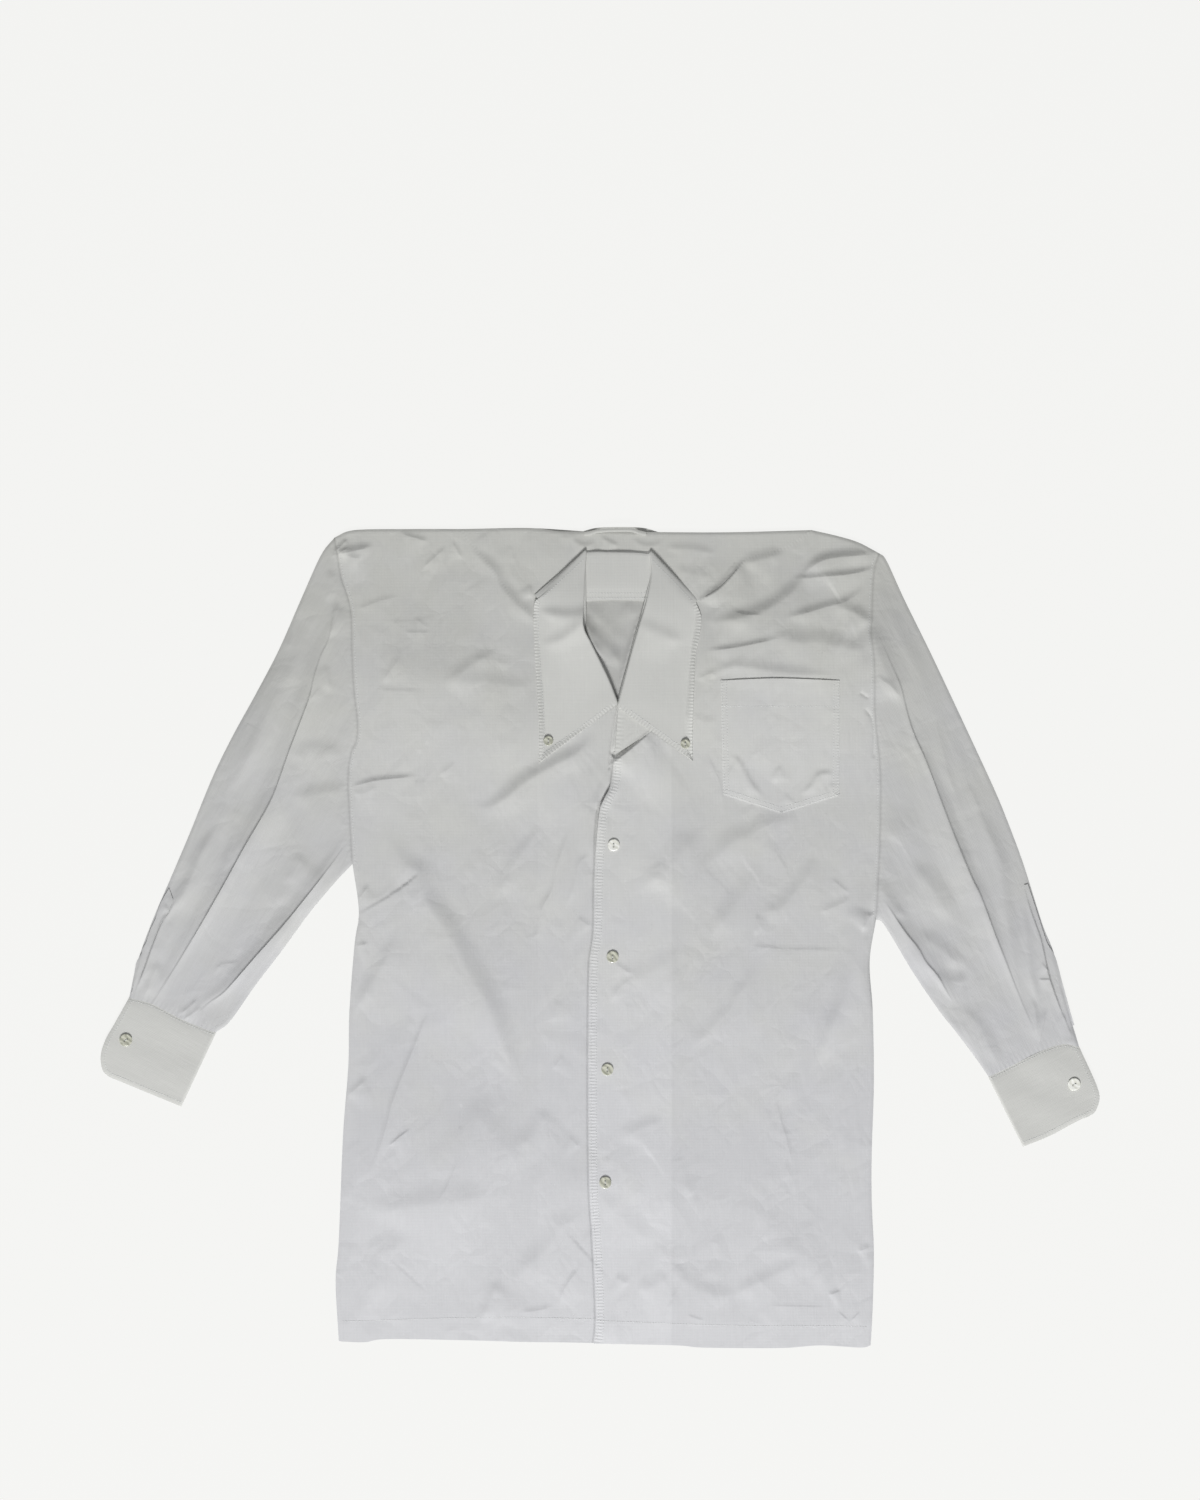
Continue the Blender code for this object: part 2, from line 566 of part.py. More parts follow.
def band_ring(top, foot, wall, closed):
    """The outer and inner skins of one flattened ring, from the top layer's points and the foot's.

    Both lists run from the outer side to the inner side. A ring that isn't closed is open at its outer side.
    """
    def towards(a, b, distance):
        step = (b - a) / max(np.linalg.norm(b - a), 1e-9)
        return a + distance * step

    top_plan, top_z = top[:, :2], top[:, 2]
    round_in = 0.9 * wall
    outer_top = [towards(top_plan[0], top_plan[1], round_in if closed else 0)] + list(top_plan[1:-1])
    outer_top.append(towards(top_plan[-1], top_plan[-2], round_in))
    outer_foot = [towards(foot[0], foot[1], round_in if closed else 0)] + list(foot[1:-1])
    outer_foot.append(towards(foot[-1], foot[-2], round_in))
    inner_top = [towards(top_plan[0], top_plan[1], 1.6 * wall if closed else 0)] + list(top_plan[1:-1])
    inner_top.append(towards(top_plan[-1], top_plan[-2], 1.6 * wall))
    inner_foot = [towards(foot[0], foot[1], 1.6 * wall if closed else 0)] + list(foot[1:-1])
    inner_foot.append(towards(foot[-1], foot[-2], 1.6 * wall))

    def skin(top_points, foot_points, depth, side_depth):
        points = [(x, y, z - depth) for (x, y), z in zip(top_points, top_z)]
        x, y = towards(top_plan[-1], top_plan[-2], side_depth)
        points.append((x, y, 0.5 * top_z[-1]))
        points += [(x, y, depth) for x, y in reversed(foot_points)]
        if closed:
            x, y = towards(top_plan[0], top_plan[1], side_depth)
            points.append((x, y, 0.5 * top_z[0]))
        return points

    return skin(outer_top, outer_foot, 0, 0), skin(inner_top, inner_foot, wall, wall)


def tube_object(name, rings, closed):
    """A wall between an outer and an inner skin, through rings that have the same number of points."""
    count = len(rings[0][0])
    vertices = [point for outer, inner in rings for point in outer + inner]
    faces = []
    spans = range(count if closed else count - 1)

    def at(ring, skin, index):
        return ring * 2 * count + skin * count + index % count

    for r in range(len(rings) - 1):
        for c in spans:
            faces.append((at(r, 0, c), at(r, 0, c + 1), at(r + 1, 0, c + 1), at(r + 1, 0, c)))
            faces.append((at(r, 1, c), at(r + 1, 1, c), at(r + 1, 1, c + 1), at(r, 1, c + 1)))
        if not closed:
            faces.append((at(r, 0, 0), at(r + 1, 0, 0), at(r + 1, 1, 0), at(r, 1, 0)))
            last = count - 1
            faces.append((at(r, 0, last), at(r, 1, last), at(r + 1, 1, last), at(r + 1, 0, last)))
    end = len(rings) - 1
    for c in spans:
        faces.append((at(0, 0, c), at(0, 1, c), at(0, 1, c + 1), at(0, 0, c + 1)))
        faces.append((at(end, 0, c), at(end, 0, c + 1), at(end, 1, c + 1), at(end, 1, c)))
    made = object_of(name, vertices, faces)
    mesh = bmesh.new()
    mesh.from_mesh(made.data)
    bmesh.ops.recalc_face_normals(mesh, faces=mesh.faces)
    mesh.to_mesh(made.data)
    mesh.free()
    smooth_shade(made)
    return made


def make_sleeve(side, armhole, outer_edge, inner_edge, cuff_seam, away):
    """A flattened tube from the armhole to the cuff. It runs from the outer edge to the inner one."""
    armhole = armhole[::-1] + np.array((away * GAP, 0))
    outer = smooth_path(outer_edge, SLEEVE_SPANS) + np.array((away * GAP, 0))
    inner = smooth_path(inner_edge, SLEEVE_SPANS) + np.array((away * GAP, 0))
    end = smooth_path(cuff_seam, ARMHOLE_SPANS)
    outer[-1], inner[-1] = end[0], end[-1]
    plan = patch(outer, inner, armhole, end)
    raised = with_height(plan, lambda places: TOP_LAYER + CLOTH + rise(places))
    rings = [band_ring(row, row[::2, :2], CLOTH, True) for row in raised]
    return tube_object("sleeve_" + side, rings, True)


def make_cuff(side, seam, foot, end, fold):
    """A stiff band folded at its inner side, with its two ends one over the other at its outer side."""
    seam = smooth_path(seam, CUFF_SPANS)
    foot = smooth_path(foot, CUFF_SPANS)
    plan = patch(smooth_path(end, CUFF_DEPTH_SPANS), smooth_path(fold, CUFF_DEPTH_SPANS), seam, foot)
    inward = foot.mean(axis=0) - seam.mean(axis=0)
    plan = plan + 2 * GAP * inward / np.linalg.norm(inward) * np.linspace(1, 0, len(plan))[:, None, None]
    top = np.full(plan.shape[:2] + (1,), 2 * CUFF_WALL + GAP)
    rings = [band_ring(np.concatenate([row, z], axis=1), row, CUFF_WALL, False) for row, z in zip(plan, top)]
    return tube_object("cuff_" + side, rings, False)


def make_collar_stand(trees):
    """The stand. Its front parts lie on the fronts, and its back lies on the fall that is folded under it."""
    half = np.array((0, 0, 0.5 * STIFF))
    share = np.array(STAND_ACROSS)[:, None]
    parts = []
    for sections in (STAND_LEFT, STAND_BACK, STAND_RIGHT):
        rolls = np.array([(row.roll_x, row.roll_y, row.roll_z) for row in sections])
        seams = np.array([(row.seam_x, row.seam_y, row.seam_z) for row in sections])
        grid = (1 - share) * rolls[:, None] + share * seams[:, None]
        late = smoothstep((share - 0.6) / 0.4)[:, 0]
        grid[:, :, 2] = (1 - late) * rolls[:, None, 2] + late * seams[:, None, 2]
        parts.append(grid if sections is STAND_BACK else laid_on(grid - half, trees, 4.0) + half)
    return cloth_panel("collar_stand", np.concatenate(parts), STIFF, 0)


def fall_grid(sections):
    """The places of some sections of the fall, with their bow between the roll and the free edge."""
    share = np.array(FALL_ACROSS)[:, None]
    grid = []
    for row in sections:
        roll = np.array((row.roll_x, row.roll_y, row.roll_z))
        edge = np.array((row.edge_x, row.edge_y, row.edge_z))
        line = (1 - share) * roll + share * edge
        line[:, 2] += row.crown * 4 * (share * (1 - share))[:, 0]
        grid.append(line)
    return np.array(grid)


def make_collar_fall(trees):
    """The fall: both pointed leaves, and the part that is folded under behind the neck."""
    half = np.array((0, 0, 0.5 * STIFF))
    leaves = [laid_on(fall_grid(rows) - half, trees, 10.0) + half for rows in (LEFT_LEAF, RIGHT_LEAF)]
    grid = np.concatenate([leaves[0], fall_grid(UNDER_THE_BACK), leaves[1]])
    return cloth_panel("collar_fall", grid, STIFF, 0)


def make_pocket(trees):
    """The patch pocket, on the right front's own surface."""
    spans, rises = 8, 8
    plan = patch(smooth_path(POCKET_LEFT, rises), smooth_path(POCKET_RIGHT, rises),
                 joined(smooth_path(POCKET_FOOT[:2], spans // 2), smooth_path(POCKET_FOOT[1:], spans // 2)),
                 smooth_path(POCKET_MOUTH, spans))
    flat = with_height(plan, lambda places: np.full(len(places), TOP_LAYER))
    return cloth_panel("pocket", laid_on(flat, trees, 8.0), CLOTH, 1)


def make_placket(side, outer, inner, tree):
    """The narrow strip along the sleeve's opening, on the sleeve's top layer."""
    spans = 9
    edges = (smooth_path(outer, spans), smooth_path(inner, spans))
    if side == "right":
        edges = edges[::-1]
    share = np.linspace(0, 1, 3)[None, :, None]
    plan = (1 - share) * edges[0][:, None] + share * edges[1][:, None]
    flat = with_height(plan, lambda places: np.full(len(places), TOP_LAYER))
    return cloth_panel("placket_" + side, laid_on(flat[::-1], [tree], 5.0), CLOTH, 1)


def make_hanger_loop(tree):
    """The narrow strip that is sewn down at both ends and bows up between them."""
    grid = np.array([[(row.x, row.low_y, row.height), (row.x, row.high_y, row.height)]
                     for row in LOOP_SECTIONS])
    grid = laid_on(grid.transpose(1, 0, 2), [tree], 2.0)
    return cloth_panel("hanger_loop", grid, CLOTH, 1)


def button_profile(diameter, thickness):
    """The half section of a button with a raised rim and a dished middle, from its top centre down."""
    radius, rim = 0.5 * diameter, 0.78
    return ((0, 0.70 * thickness), (0.55 * radius, 0.70 * thickness), (rim * radius, thickness),
            (0.93 * radius, 0.94 * thickness), (radius, 0.6 * thickness), (0.93 * radius, 0.2 * thickness),
            (0.7 * radius, 0), (0, 0))


def make_button(name, size, place, trees, hole_angle):
    """A turned disc with two holes, seated on what it is sewn to."""
    profile = button_profile(*size)
    mesh = bpy.data.meshes.new(name)
    mesh.from_pydata([(x * MM, 0, z * MM) for x, z in profile], [(i, i + 1) for i in range(len(profile) - 1)], [])
    made = bpy.data.objects.new(name, mesh)
    shirt.objects.link(made)
    screw = made.modifiers.new("turned", "SCREW")
    screw.steps = screw.render_steps = BUTTON_STEPS
    screw.use_merge_vertices = True
    screw.merge_threshold = 0.00001
    screw.use_smooth_shade = True
    for sign in (-1, 1):
        across = sign * 0.5 * HOLE_SPACING
        x, y = across * math.cos(hole_angle), across * math.sin(hole_angle)
        drill = bpy.data.meshes.new(name + "_drill")
        shape = bmesh.new()
        bmesh.ops.create_cone(shape, cap_ends=True, segments=8, radius1=HOLE_RADIUS * MM,
                              radius2=HOLE_RADIUS * MM, depth=4 * size[1] * MM)
        bmesh.ops.translate(shape, verts=shape.verts, vec=(x * MM, y * MM, 0))
        shape.to_mesh(drill)
        shape.free()
        cutter = bpy.data.objects.new(drill.name, drill)
        cutters.objects.link(cutter)
        cutter.hide_render = True
        cutter.display_type = "WIRE"
        cutter.parent = made
        hole = made.modifiers.new("hole", "BOOLEAN")
        hole.operation = "DIFFERENCE"
        hole.object = cutter
    seat_button(made, size, place, trees)
    return made


def seat_button(made, size, place, trees):
    """Lays a button along the cloth under it, just clear of the highest point that it covers."""
    x, y = place
    radius = 0.5 * size[0]
    ring = [(x + radius * math.cos(a), y + radius * math.sin(a)) for a in np.linspace(0, 2 * math.pi, 12)[:-1]]
    spots = [(px, py, height_below(trees, px, py)) for px, py in [place] + ring]
    spots = np.array([spot for spot in spots if spot[2] is not None])
    slope = np.linalg.lstsq(np.column_stack([spots[:, 0] - x, spots[:, 1] - y, np.ones(len(spots))]),
                            spots[:, 2], rcond=None)[0]
    level = slope[2] + (spots[:, 2] - (spots[:, :2] - (x, y)) @ slope[:2] - slope[2]).max()
    made.rotation_mode = "QUATERNION"
    made.rotation_quaternion = Vector((0, 0, 1)).rotation_difference(Vector((-slope[0], -slope[1], 1)))
    made.location = (x * MM, y * MM, (level + GAP) * MM)


def give_material(made, name, finish):
    material = bpy.data.materials.get(name) or bpy.data.materials.new(name)
    material.use_nodes = True
    shader = material.node_tree.nodes["Principled BSDF"]
    shader.inputs["Base Color"].default_value = (*finish.colour, 1)
    shader.inputs["Roughness"].default_value = finish.roughness
    shader.inputs["Metallic"].default_value = 0
    made.data.materials.append(material)


for leftover in list(bpy.data.objects):
    bpy.data.objects.remove(leftover)
shirt = bpy.data.collections.new("crumpled button-down shirt")
cutters = bpy.data.collections.new("cutters")
bpy.context.scene.collection.children.link(shirt)
bpy.context.scene.collection.children.link(cutters)
cutters.hide_render = True

back = make_back()
yoke = make_yoke()
front_left = make_front_left()
front_right = make_front_right()
sleeve_left = make_sleeve("left", armhole_left, SLEEVE_LEFT_OUTER, SLEEVE_LEFT_INNER, CUFF_SEAM_LEFT, -1)
sleeve_right = make_sleeve("right", armhole_right, SLEEVE_RIGHT_OUTER, SLEEVE_RIGHT_INNER, CUFF_SEAM_RIGHT, 1)
cuff_left = make_cuff("left", CUFF_SEAM_LEFT, CUFF_FOOT_LEFT, CUFF_END_LEFT, ((-365, -90), (-398, -160)))
cuff_right = make_cuff("right", CUFF_SEAM_RIGHT, CUFF_FOOT_RIGHT, CUFF_END_RIGHT, ((369, -132), (402, -198)))
front_tree = evaluated_tree(front_right)
body_trees = [front_tree, evaluated_tree(front_left), evaluated_tree(yoke)]
collar_stand = make_collar_stand(body_trees)
collar_fall = make_collar_fall(body_trees + [evaluated_tree(collar_stand)])
fall_tree = evaluated_tree(collar_fall)
pocket = make_pocket([front_tree])
placket_left = make_placket("left", PLACKET_LEFT_OUTER, PLACKET_LEFT_INNER, evaluated_tree(sleeve_left))
placket_right = make_placket("right", PLACKET_RIGHT_OUTER, PLACKET_RIGHT_INNER, evaluated_tree(sleeve_right))
hanger_loop = make_hanger_loop(evaluated_tree(yoke))

for number, place in enumerate(FRONT_BUTTON_PLACES, 1):
    give_material(make_button(f"button_front_{number}", FRONT_BUTTON, place, [front_tree], math.pi / 2),
                  "shell_button", SHELL)
for side, place in COLLAR_BUTTON_PLACES.items():
    give_material(make_button("button_collar_" + side, COLLAR_BUTTON, place, [fall_tree], math.pi / 2),
                  "shell_button", SHELL)
for side, cuff in (("left", cuff_left), ("right", cuff_right)):
    place = CUFF_BUTTON_PLACES[side]
    give_material(make_button("button_cuff_" + side, CUFF_BUTTON, place, [evaluated_tree(cuff)], 0.6),
                  "shell_button", SHELL)
for made in (back, yoke, front_left, front_right, sleeve_left, sleeve_right, pocket, placket_left,
             placket_right, hanger_loop):
    give_material(made, "poplin", POPLIN)
for made in (collar_fall, collar_stand, cuff_left, cuff_right):
    give_material(made, "poplin_stiff", POPLIN_STIFF)
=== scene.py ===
"""Crumpled button-down shirt, laid flat on its back with its front up.

Lengths in the constants and tables are millimetres, and the model is in metres. The shirt lies on the
plane z = 0, +X is the viewer's right, +Y points to the collar and +Z is up. Left and right are the
viewer's.
"""

import math
from collections import namedtuple

import bmesh
import bpy
import numpy as np
from mathutils import Matrix, Vector
from mathutils.bvhtree import BVHTree
from mathutils.geometry import delaunay_2d_cdt
from mathutils.kdtree import KDTree


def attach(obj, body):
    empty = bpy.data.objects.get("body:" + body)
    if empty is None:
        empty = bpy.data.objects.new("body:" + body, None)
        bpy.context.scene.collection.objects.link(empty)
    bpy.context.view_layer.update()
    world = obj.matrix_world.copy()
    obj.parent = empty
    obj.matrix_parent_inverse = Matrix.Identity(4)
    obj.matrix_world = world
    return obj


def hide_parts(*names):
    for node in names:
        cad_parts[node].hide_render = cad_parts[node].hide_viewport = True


bl_info = {
    "name": "Crumpled button-down shirt",
    "version": (1, 0, 0),
    "blender": (4, 5, 0),
    "location": "3D View > Sidebar > Shirt",
    "description": "Builds a creased cotton shirt, laid flat, piece by piece",
    "category": "Object",
}

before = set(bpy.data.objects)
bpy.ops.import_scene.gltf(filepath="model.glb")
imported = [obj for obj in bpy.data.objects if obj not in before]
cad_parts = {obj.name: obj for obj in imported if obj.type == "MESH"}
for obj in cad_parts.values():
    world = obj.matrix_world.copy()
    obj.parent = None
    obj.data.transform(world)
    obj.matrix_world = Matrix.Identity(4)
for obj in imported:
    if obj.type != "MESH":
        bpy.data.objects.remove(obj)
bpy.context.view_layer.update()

MM = 0.001
SEED = 7

# The walls of the real cloth, and the heights of the faces that other cloth lies on
CLOTH = 0.5
SLEEVE_CLOTH = 0.4
LOOP_CLOTH = 0.9
COLLAR_CLOTH = 1.0
CUFF_CLOTH = 1.3
BACK_TOP = 0.7
TOP_FACE = 2.7
# How far the right front reaches over the left one, and how much higher it lies there
CLOSURE = 30.0
CLOSURE_STEP = 0.8

# How high the creases stand against their tables, how much wider their gentle sides are, and the
# widest steep side that gets points of its own
RELIEF = 0.9
GENTLE = 3.0
CRISP_UP_TO = 7.0

# How far apart the points of each piece are
FRONT_SPACING = 1.8
SLEEVE_SPACING = 1.8
UNDER_SPACING = 7.0
ROW_SPACING = 1.6
ROW_GAP = 0.35
BACK_SPACING = 9.0
SMALL_SPACING = 1.6
PLACKET_SPANS = 60
# Spans of a smooth line between two given points, and how near doubled points of an outline are
CURVE_SPANS = 12
DOUBLED = 0.05

# Seams: how far painted shade reaches each side of one, how long its stitches are, and the marks on the cloth
# that tell how near a seam is, how much painted shade it has and how many stitches along it the place is
DITCH = 1.7
SEAM_PITCH = 3.1
ARMHOLE_PITCH = 5.2
SEAM_MARKS = ("seam_near", "seam_grey", "seam_stitches")
# Rows of stitches: how far apart their line's points are, and how high the line lies on the cloth
STITCH_STEP = 2.0
STITCH_LIFT = 0.06

# How light plain cloth is against its colour, and how soft the edge of doubled cloth shows
PLAIN_TONE = 0.91
STRIP_EDGE = 0.8

# Outlines, as x and y along each edge
TOP_LEFT = ((-252, 380), (-233, 387), (-180, 388), (-130, 388))
TOP_MIDDLE = ((-130, 388), (-68, 389), (-37, 386), (-2, 386), (66, 385), (126, 385), (201, 387))
TOP_RIGHT = ((201, 387), (227, 381), (246, 375), (265, 365))
BACK_BULGE = ((-16, 386), (0, 389.5), (38, 389.5), (56, 385))
HEM_LEFT = ((-248, -383), (-224, -384), (-202, -381), (-132, -382), (-55, -384), (24, -384))
HEM_RIGHT = ((-6, -385), (72, -387), (98, -389), (170, -389.5), (209, -387), (247, -389), (257, -387))
SIDE_LEFT = ((-248, -383), (-251, -327), (-248, -287), (-244, -188), (-239, -122), (-238, -71),
             (-233, -6), (-229, 25), (-235, 70))
SIDE_RIGHT = ((257, -387), (259, -349), (260, -297), (258, -250), (258, -204), (260, -139),
              (259, -71), (256, -23), (262, 17))
ARMHOLE_LEFT = ((-235, 70), (-238, 125), (-239, 152), (-236, 177), (-231, 188), (-230, 208),
                (-233, 234), (-235, 270), (-236, 307), (-240, 326), (-246, 344), (-252, 380))
ARMHOLE_RIGHT = ((262, 17), (263, 36), (266, 100), (266, 161), (261, 210), (260, 261), (257, 290),
                 (258, 302), (259, 333), (261, 353), (265, 365))
FREE_EDGE = ((-6, -385), (-4, -356), (-7, -287), (-10, -241), (-11, -179), (-11, -87), (-10, -25),
             (-6, 9), (-5, 64), (-1, 116), (4, 132), (9, 142), (12, 158), (13, 176))
SEAM_LEFT = ((-46, 296), (-63, 307), (-79, 321), (-92, 337), (-109, 361), (-123, 377), (-130, 388))
SEAM_RIGHT = ((72, 309), (94, 321), (113, 333), (127, 347), (140, 361), (172, 370), (201, 387))
NECK_LEFT = ((-46, 296), (-49, 272), (-38, 246), (-16, 233), (2, 229), (14, 224), (24, 219), (43, 203))
NECK_RIGHT = ((13, 176), (44, 200), (64, 235), (74, 273), (72, 309))
NECK_BACK = ((-46, 296), (-36, 310), (-24, 318), (-12, 321), (17, 321.5), (45, 321), (58, 318),
             (66, 314), (72, 309))
SLEEVE_LEFT_OUTER = ((-252, 380), (-265, 363), (-284, 321), (-305, 273), (-327, 231), (-349, 191),
                     (-368, 152), (-390, 98), (-407, 58), (-427, 11), (-440, -26), (-447, -57))
SLEEVE_LEFT_INNER = ((-235, 70), (-252, 52), (-277, 22), (-301, -11), (-327, -45), (-351, -79), (-365, -90))
SLEEVE_RIGHT_OUTER = ((265, 365), (272, 358), (289, 321), (316, 266), (355, 183), (377, 135), (391, 100),
                      (403, 67), (420, 13), (431, -15), (443, -63), (455, -104))
SLEEVE_RIGHT_INNER = ((262, 17), (270, 12), (296, -31), (321, -68), (336, -87), (355, -112), (369, -132))
CUFF_SEAM_LEFT = ((-447, -57), (-425, -63), (-400, -76), (-377, -86), (-365, -90))
CUFF_SEAM_RIGHT = ((455, -104), (440, -101), (418, -108), (386, -124), (369, -132))
CUFF_END_LEFT = ((-447, -57), (-461, -82), (-469, -96), (-473.9, -112), (-472, -126), (-466, -132))
CUFF_END_RIGHT = ((455, -104), (467, -130), (473, -145), (473.9, -154), (470, -165), (463, -170))
CUFF_FOOT_LEFT = ((-466, -132), (-398, -160))
CUFF_FOLD_LEFT = ((-365, -90), (-398, -160))
CUFF_FOOT_RIGHT = ((463, -170), (453, -174), (427, -188), (402, -198))
CUFF_FOLD_RIGHT = ((369, -132), (402, -198))
POCKET_LEFT = ((117, 136), (114, 244))
POCKET_RIGHT = ((227, 135), (227, 244))
POCKET_FOOT = ((117, 136), (172, 118), (227, 135))
POCKET_MOUTH = ((114, 244), (167, 246), (227, 244))
LEFT_LEAF_FOOT = ((-58, 166), (-20, 193.6), (15.2, 220))
RIGHT_LEAF_FOOT = ((88, 168), (55, 191.8), (21, 216))
COLLAR_AREA = ((-14, 366), (-61, 324), (-63, 300), (-60, 239), (-58, 166), (15, 218), (19, 215),
               (84, 168), (90, 168), (87, 208), (95, 292), (94, 320), (49, 365))
PLACKET_LEFT_OUTER = ((-409, 47), (-418, 31), (-421.5, 19), (-427, 7), (-430.5, -4), (-434, -10),
                      (-435, -15), (-440, -23), (-442, -34),
                      (-443, -46), (-445, -53))
PLACKET_LEFT_INNER = ((-405, 36), (-410, 24), (-417, 13), (-428, -13), (-432.5, -26), (-440, -47))
PLACKET_RIGHT_OUTER = ((406, 51), (415.5, 22), (424, -4), (432, -18), (439, -43), (446.5, -71), (450, -83))
PLACKET_RIGHT_INNER = ((402.5, 50), (410, 26), (420, -3), (427.5, -35), (436.5, -62), (445, -84))
HEM_FOLD_LEFT = ((-252, -363), (-215, -362), (-150, -360), (-80, -359), (0, -361))
HEM_FOLD_RIGHT = ((-6, -362), (70, -365), (140, -367), (200, -367), (260, -368))

# Creases: the line along the middle of the steep side, which falls to the left of the line's direction,
# how wide the steep side and the gentle side are, and the height
Crease = namedtuple("Crease", "path steep gentle height")
LEFT_FRONT_CREASES = tuple(Crease(*row) for row in (
    (((-124, 376), (-116, 366), (-98, 350), (-89, 332), (-65, 308), (-52, 295)), 8, 14, 2.5),
    (((-150, 243), (-137, 252), (-125, 261), (-111, 269), (-94, 274)), 8, 16, 1.5),
    (((-150, 243), (-134, 244), (-102, 246), (-62, 238)), 10, 20, 1.4),
    (((-233, 312), (-208, 322), (-190, 325)), 4, 8, 0.6),
    (((-210, 242), (-190, 269)), 5, 9, 0.7),
    (((-240, 143), (-222, 149), (-206, 152), (-172, 155)), 4, 16, 1.8),
    (((-236, 140), (-224, 140), (-212, 146)), 6, 8, 1.0),
    (((-205, 285), (-180, 268), (-150, 256), (-120, 252)), 26, 34, 1.9),
    (((-120, 125), (-105, 127), (-91, 136), (-75, 150), (-60, 159), (-40, 170), (-20, 181), (-5, 200)),
      10, 24, 4.0),
    (((-209, 103), (-194, 90), (-180, 72), (-166, 65), (-162, 42), (-150, 24), (-132, -3), (-118, -31),
      (-100, -63), (-88, -97), (-78, -125), (-70, -152)), 15, 30, 4.0),
    (((-105, 33), (-91, 60), (-84, 74), (-66, 97), (-59, 109)), 9, 14, 1.5),
    (((-77, -1), (-59, 6), (-57, 28), (-47, 47), (-41, 74), (-27, 111)), 4, 9, 1.2),
    (((-34, 28), (-27, 49), (-20, 74), (-6, 79)), 4, 7, 0.8),
    (((-21, 21), (-7, 11)), 4, 12, 0.7),
    (((-240, -75), (-219, -40), (-205, -17), (-194, 10)), 8, 14, 1.5),
    (((-233, -6), (-220, -4)), 3.5, 6, 1.0),
    (((-244, -150), (-234, -142), (-222, -132)), 5, 9, 1.1),
    (((-238, 30), (-229, 40), (-220, 52)), 4, 6, 1.4),
    (((-223, -227), (-214, -210), (-204, -177), (-198, -154), (-182, -113), (-169, -81), (-158, -56)),
      3.5, 12, 1.3),
    (((-202, -198), (-192, -189), (-180, -180)), 2, 6, 0.9),
    (((-122, -146), (-108, -163), (-92, -184), (-76, -197), (-56, -206)), 20, 28, 1.9),
    (((-82, -197), (-67, -184), (-50, -160)), 11, 14, 1.2),
    (((-222, -260), (-196, -251), (-167, -246), (-121, -241), (-100, -243)), 16, 28, 2.2),
    (((-116, -366), (-108, -345), (-98, -322)), 8, 16, 1.6),
    (((-94, -322), (-82, -320), (-71, -308), (-57, -295), (-47, -281), (-40, -270), (-28, -264),
      (-12, -254)), 12, 26, 1.6),
    (((-41, -354), (-38, -339), (-32, -327), (-17, -308)), 3.5, 8, 0.8),
    (((-223, -356), (-220, -329), (-215, -304), (-205, -291), (-175, -281)), 13, 20, 1.4),
    (((-77, -354), (-60, -352), (-44, -348)), 4, 8, 0.7),
    (((-154, -250), (-146, -235), (-140, -221), (-134, -206)), 2.5, 4, 0.5),
    (((-154, 154), (-138, 168)), 4, 7, 0.5),
    (((-188, 291), (-159, 291)), 3, 6, 0.5),
    (((-175, 305), (-161, 294)), 3, 6, 0.4),
    (((-212, 237), (-170, 235)), 4, 10, 0.5),
    (((-190, 386), (-161, 377)), 4, 8, 1.2),
    (((-170, 351), (-146, 373)), 3, 7, 0.8),
    (((-140, 378), (-129, 359)), 3, 6, 0.9),
    (((-254, 366), (-240, 380)), 3.5, 5, 1.8),
    (((-250, 366), (-239, 371)), 2.5, 4, 1.0),
    (((-258, 364), (-238, 369), (-214, 374)), 6, 12, 2.6),
    (((-240, 364), (-225, 361)), 4, 5, 0.8),
    (((-84, 374), (-80, 355)), 3, 6, 0.5),
    (((-67, 336), (-62, 322)), 3, 5, 0.8),
    (((-29, -187), (-17, -198)), 5, 8, 0.6),
    (((-47, -124), (-35, -110)), 4, 8, 0.5),
    (((-47, -81), (-41, -58)), 4, 8, 0.5),
    (((2, 150), (-3, 110), (-8, 64)), 4, 6, 1.4),
))
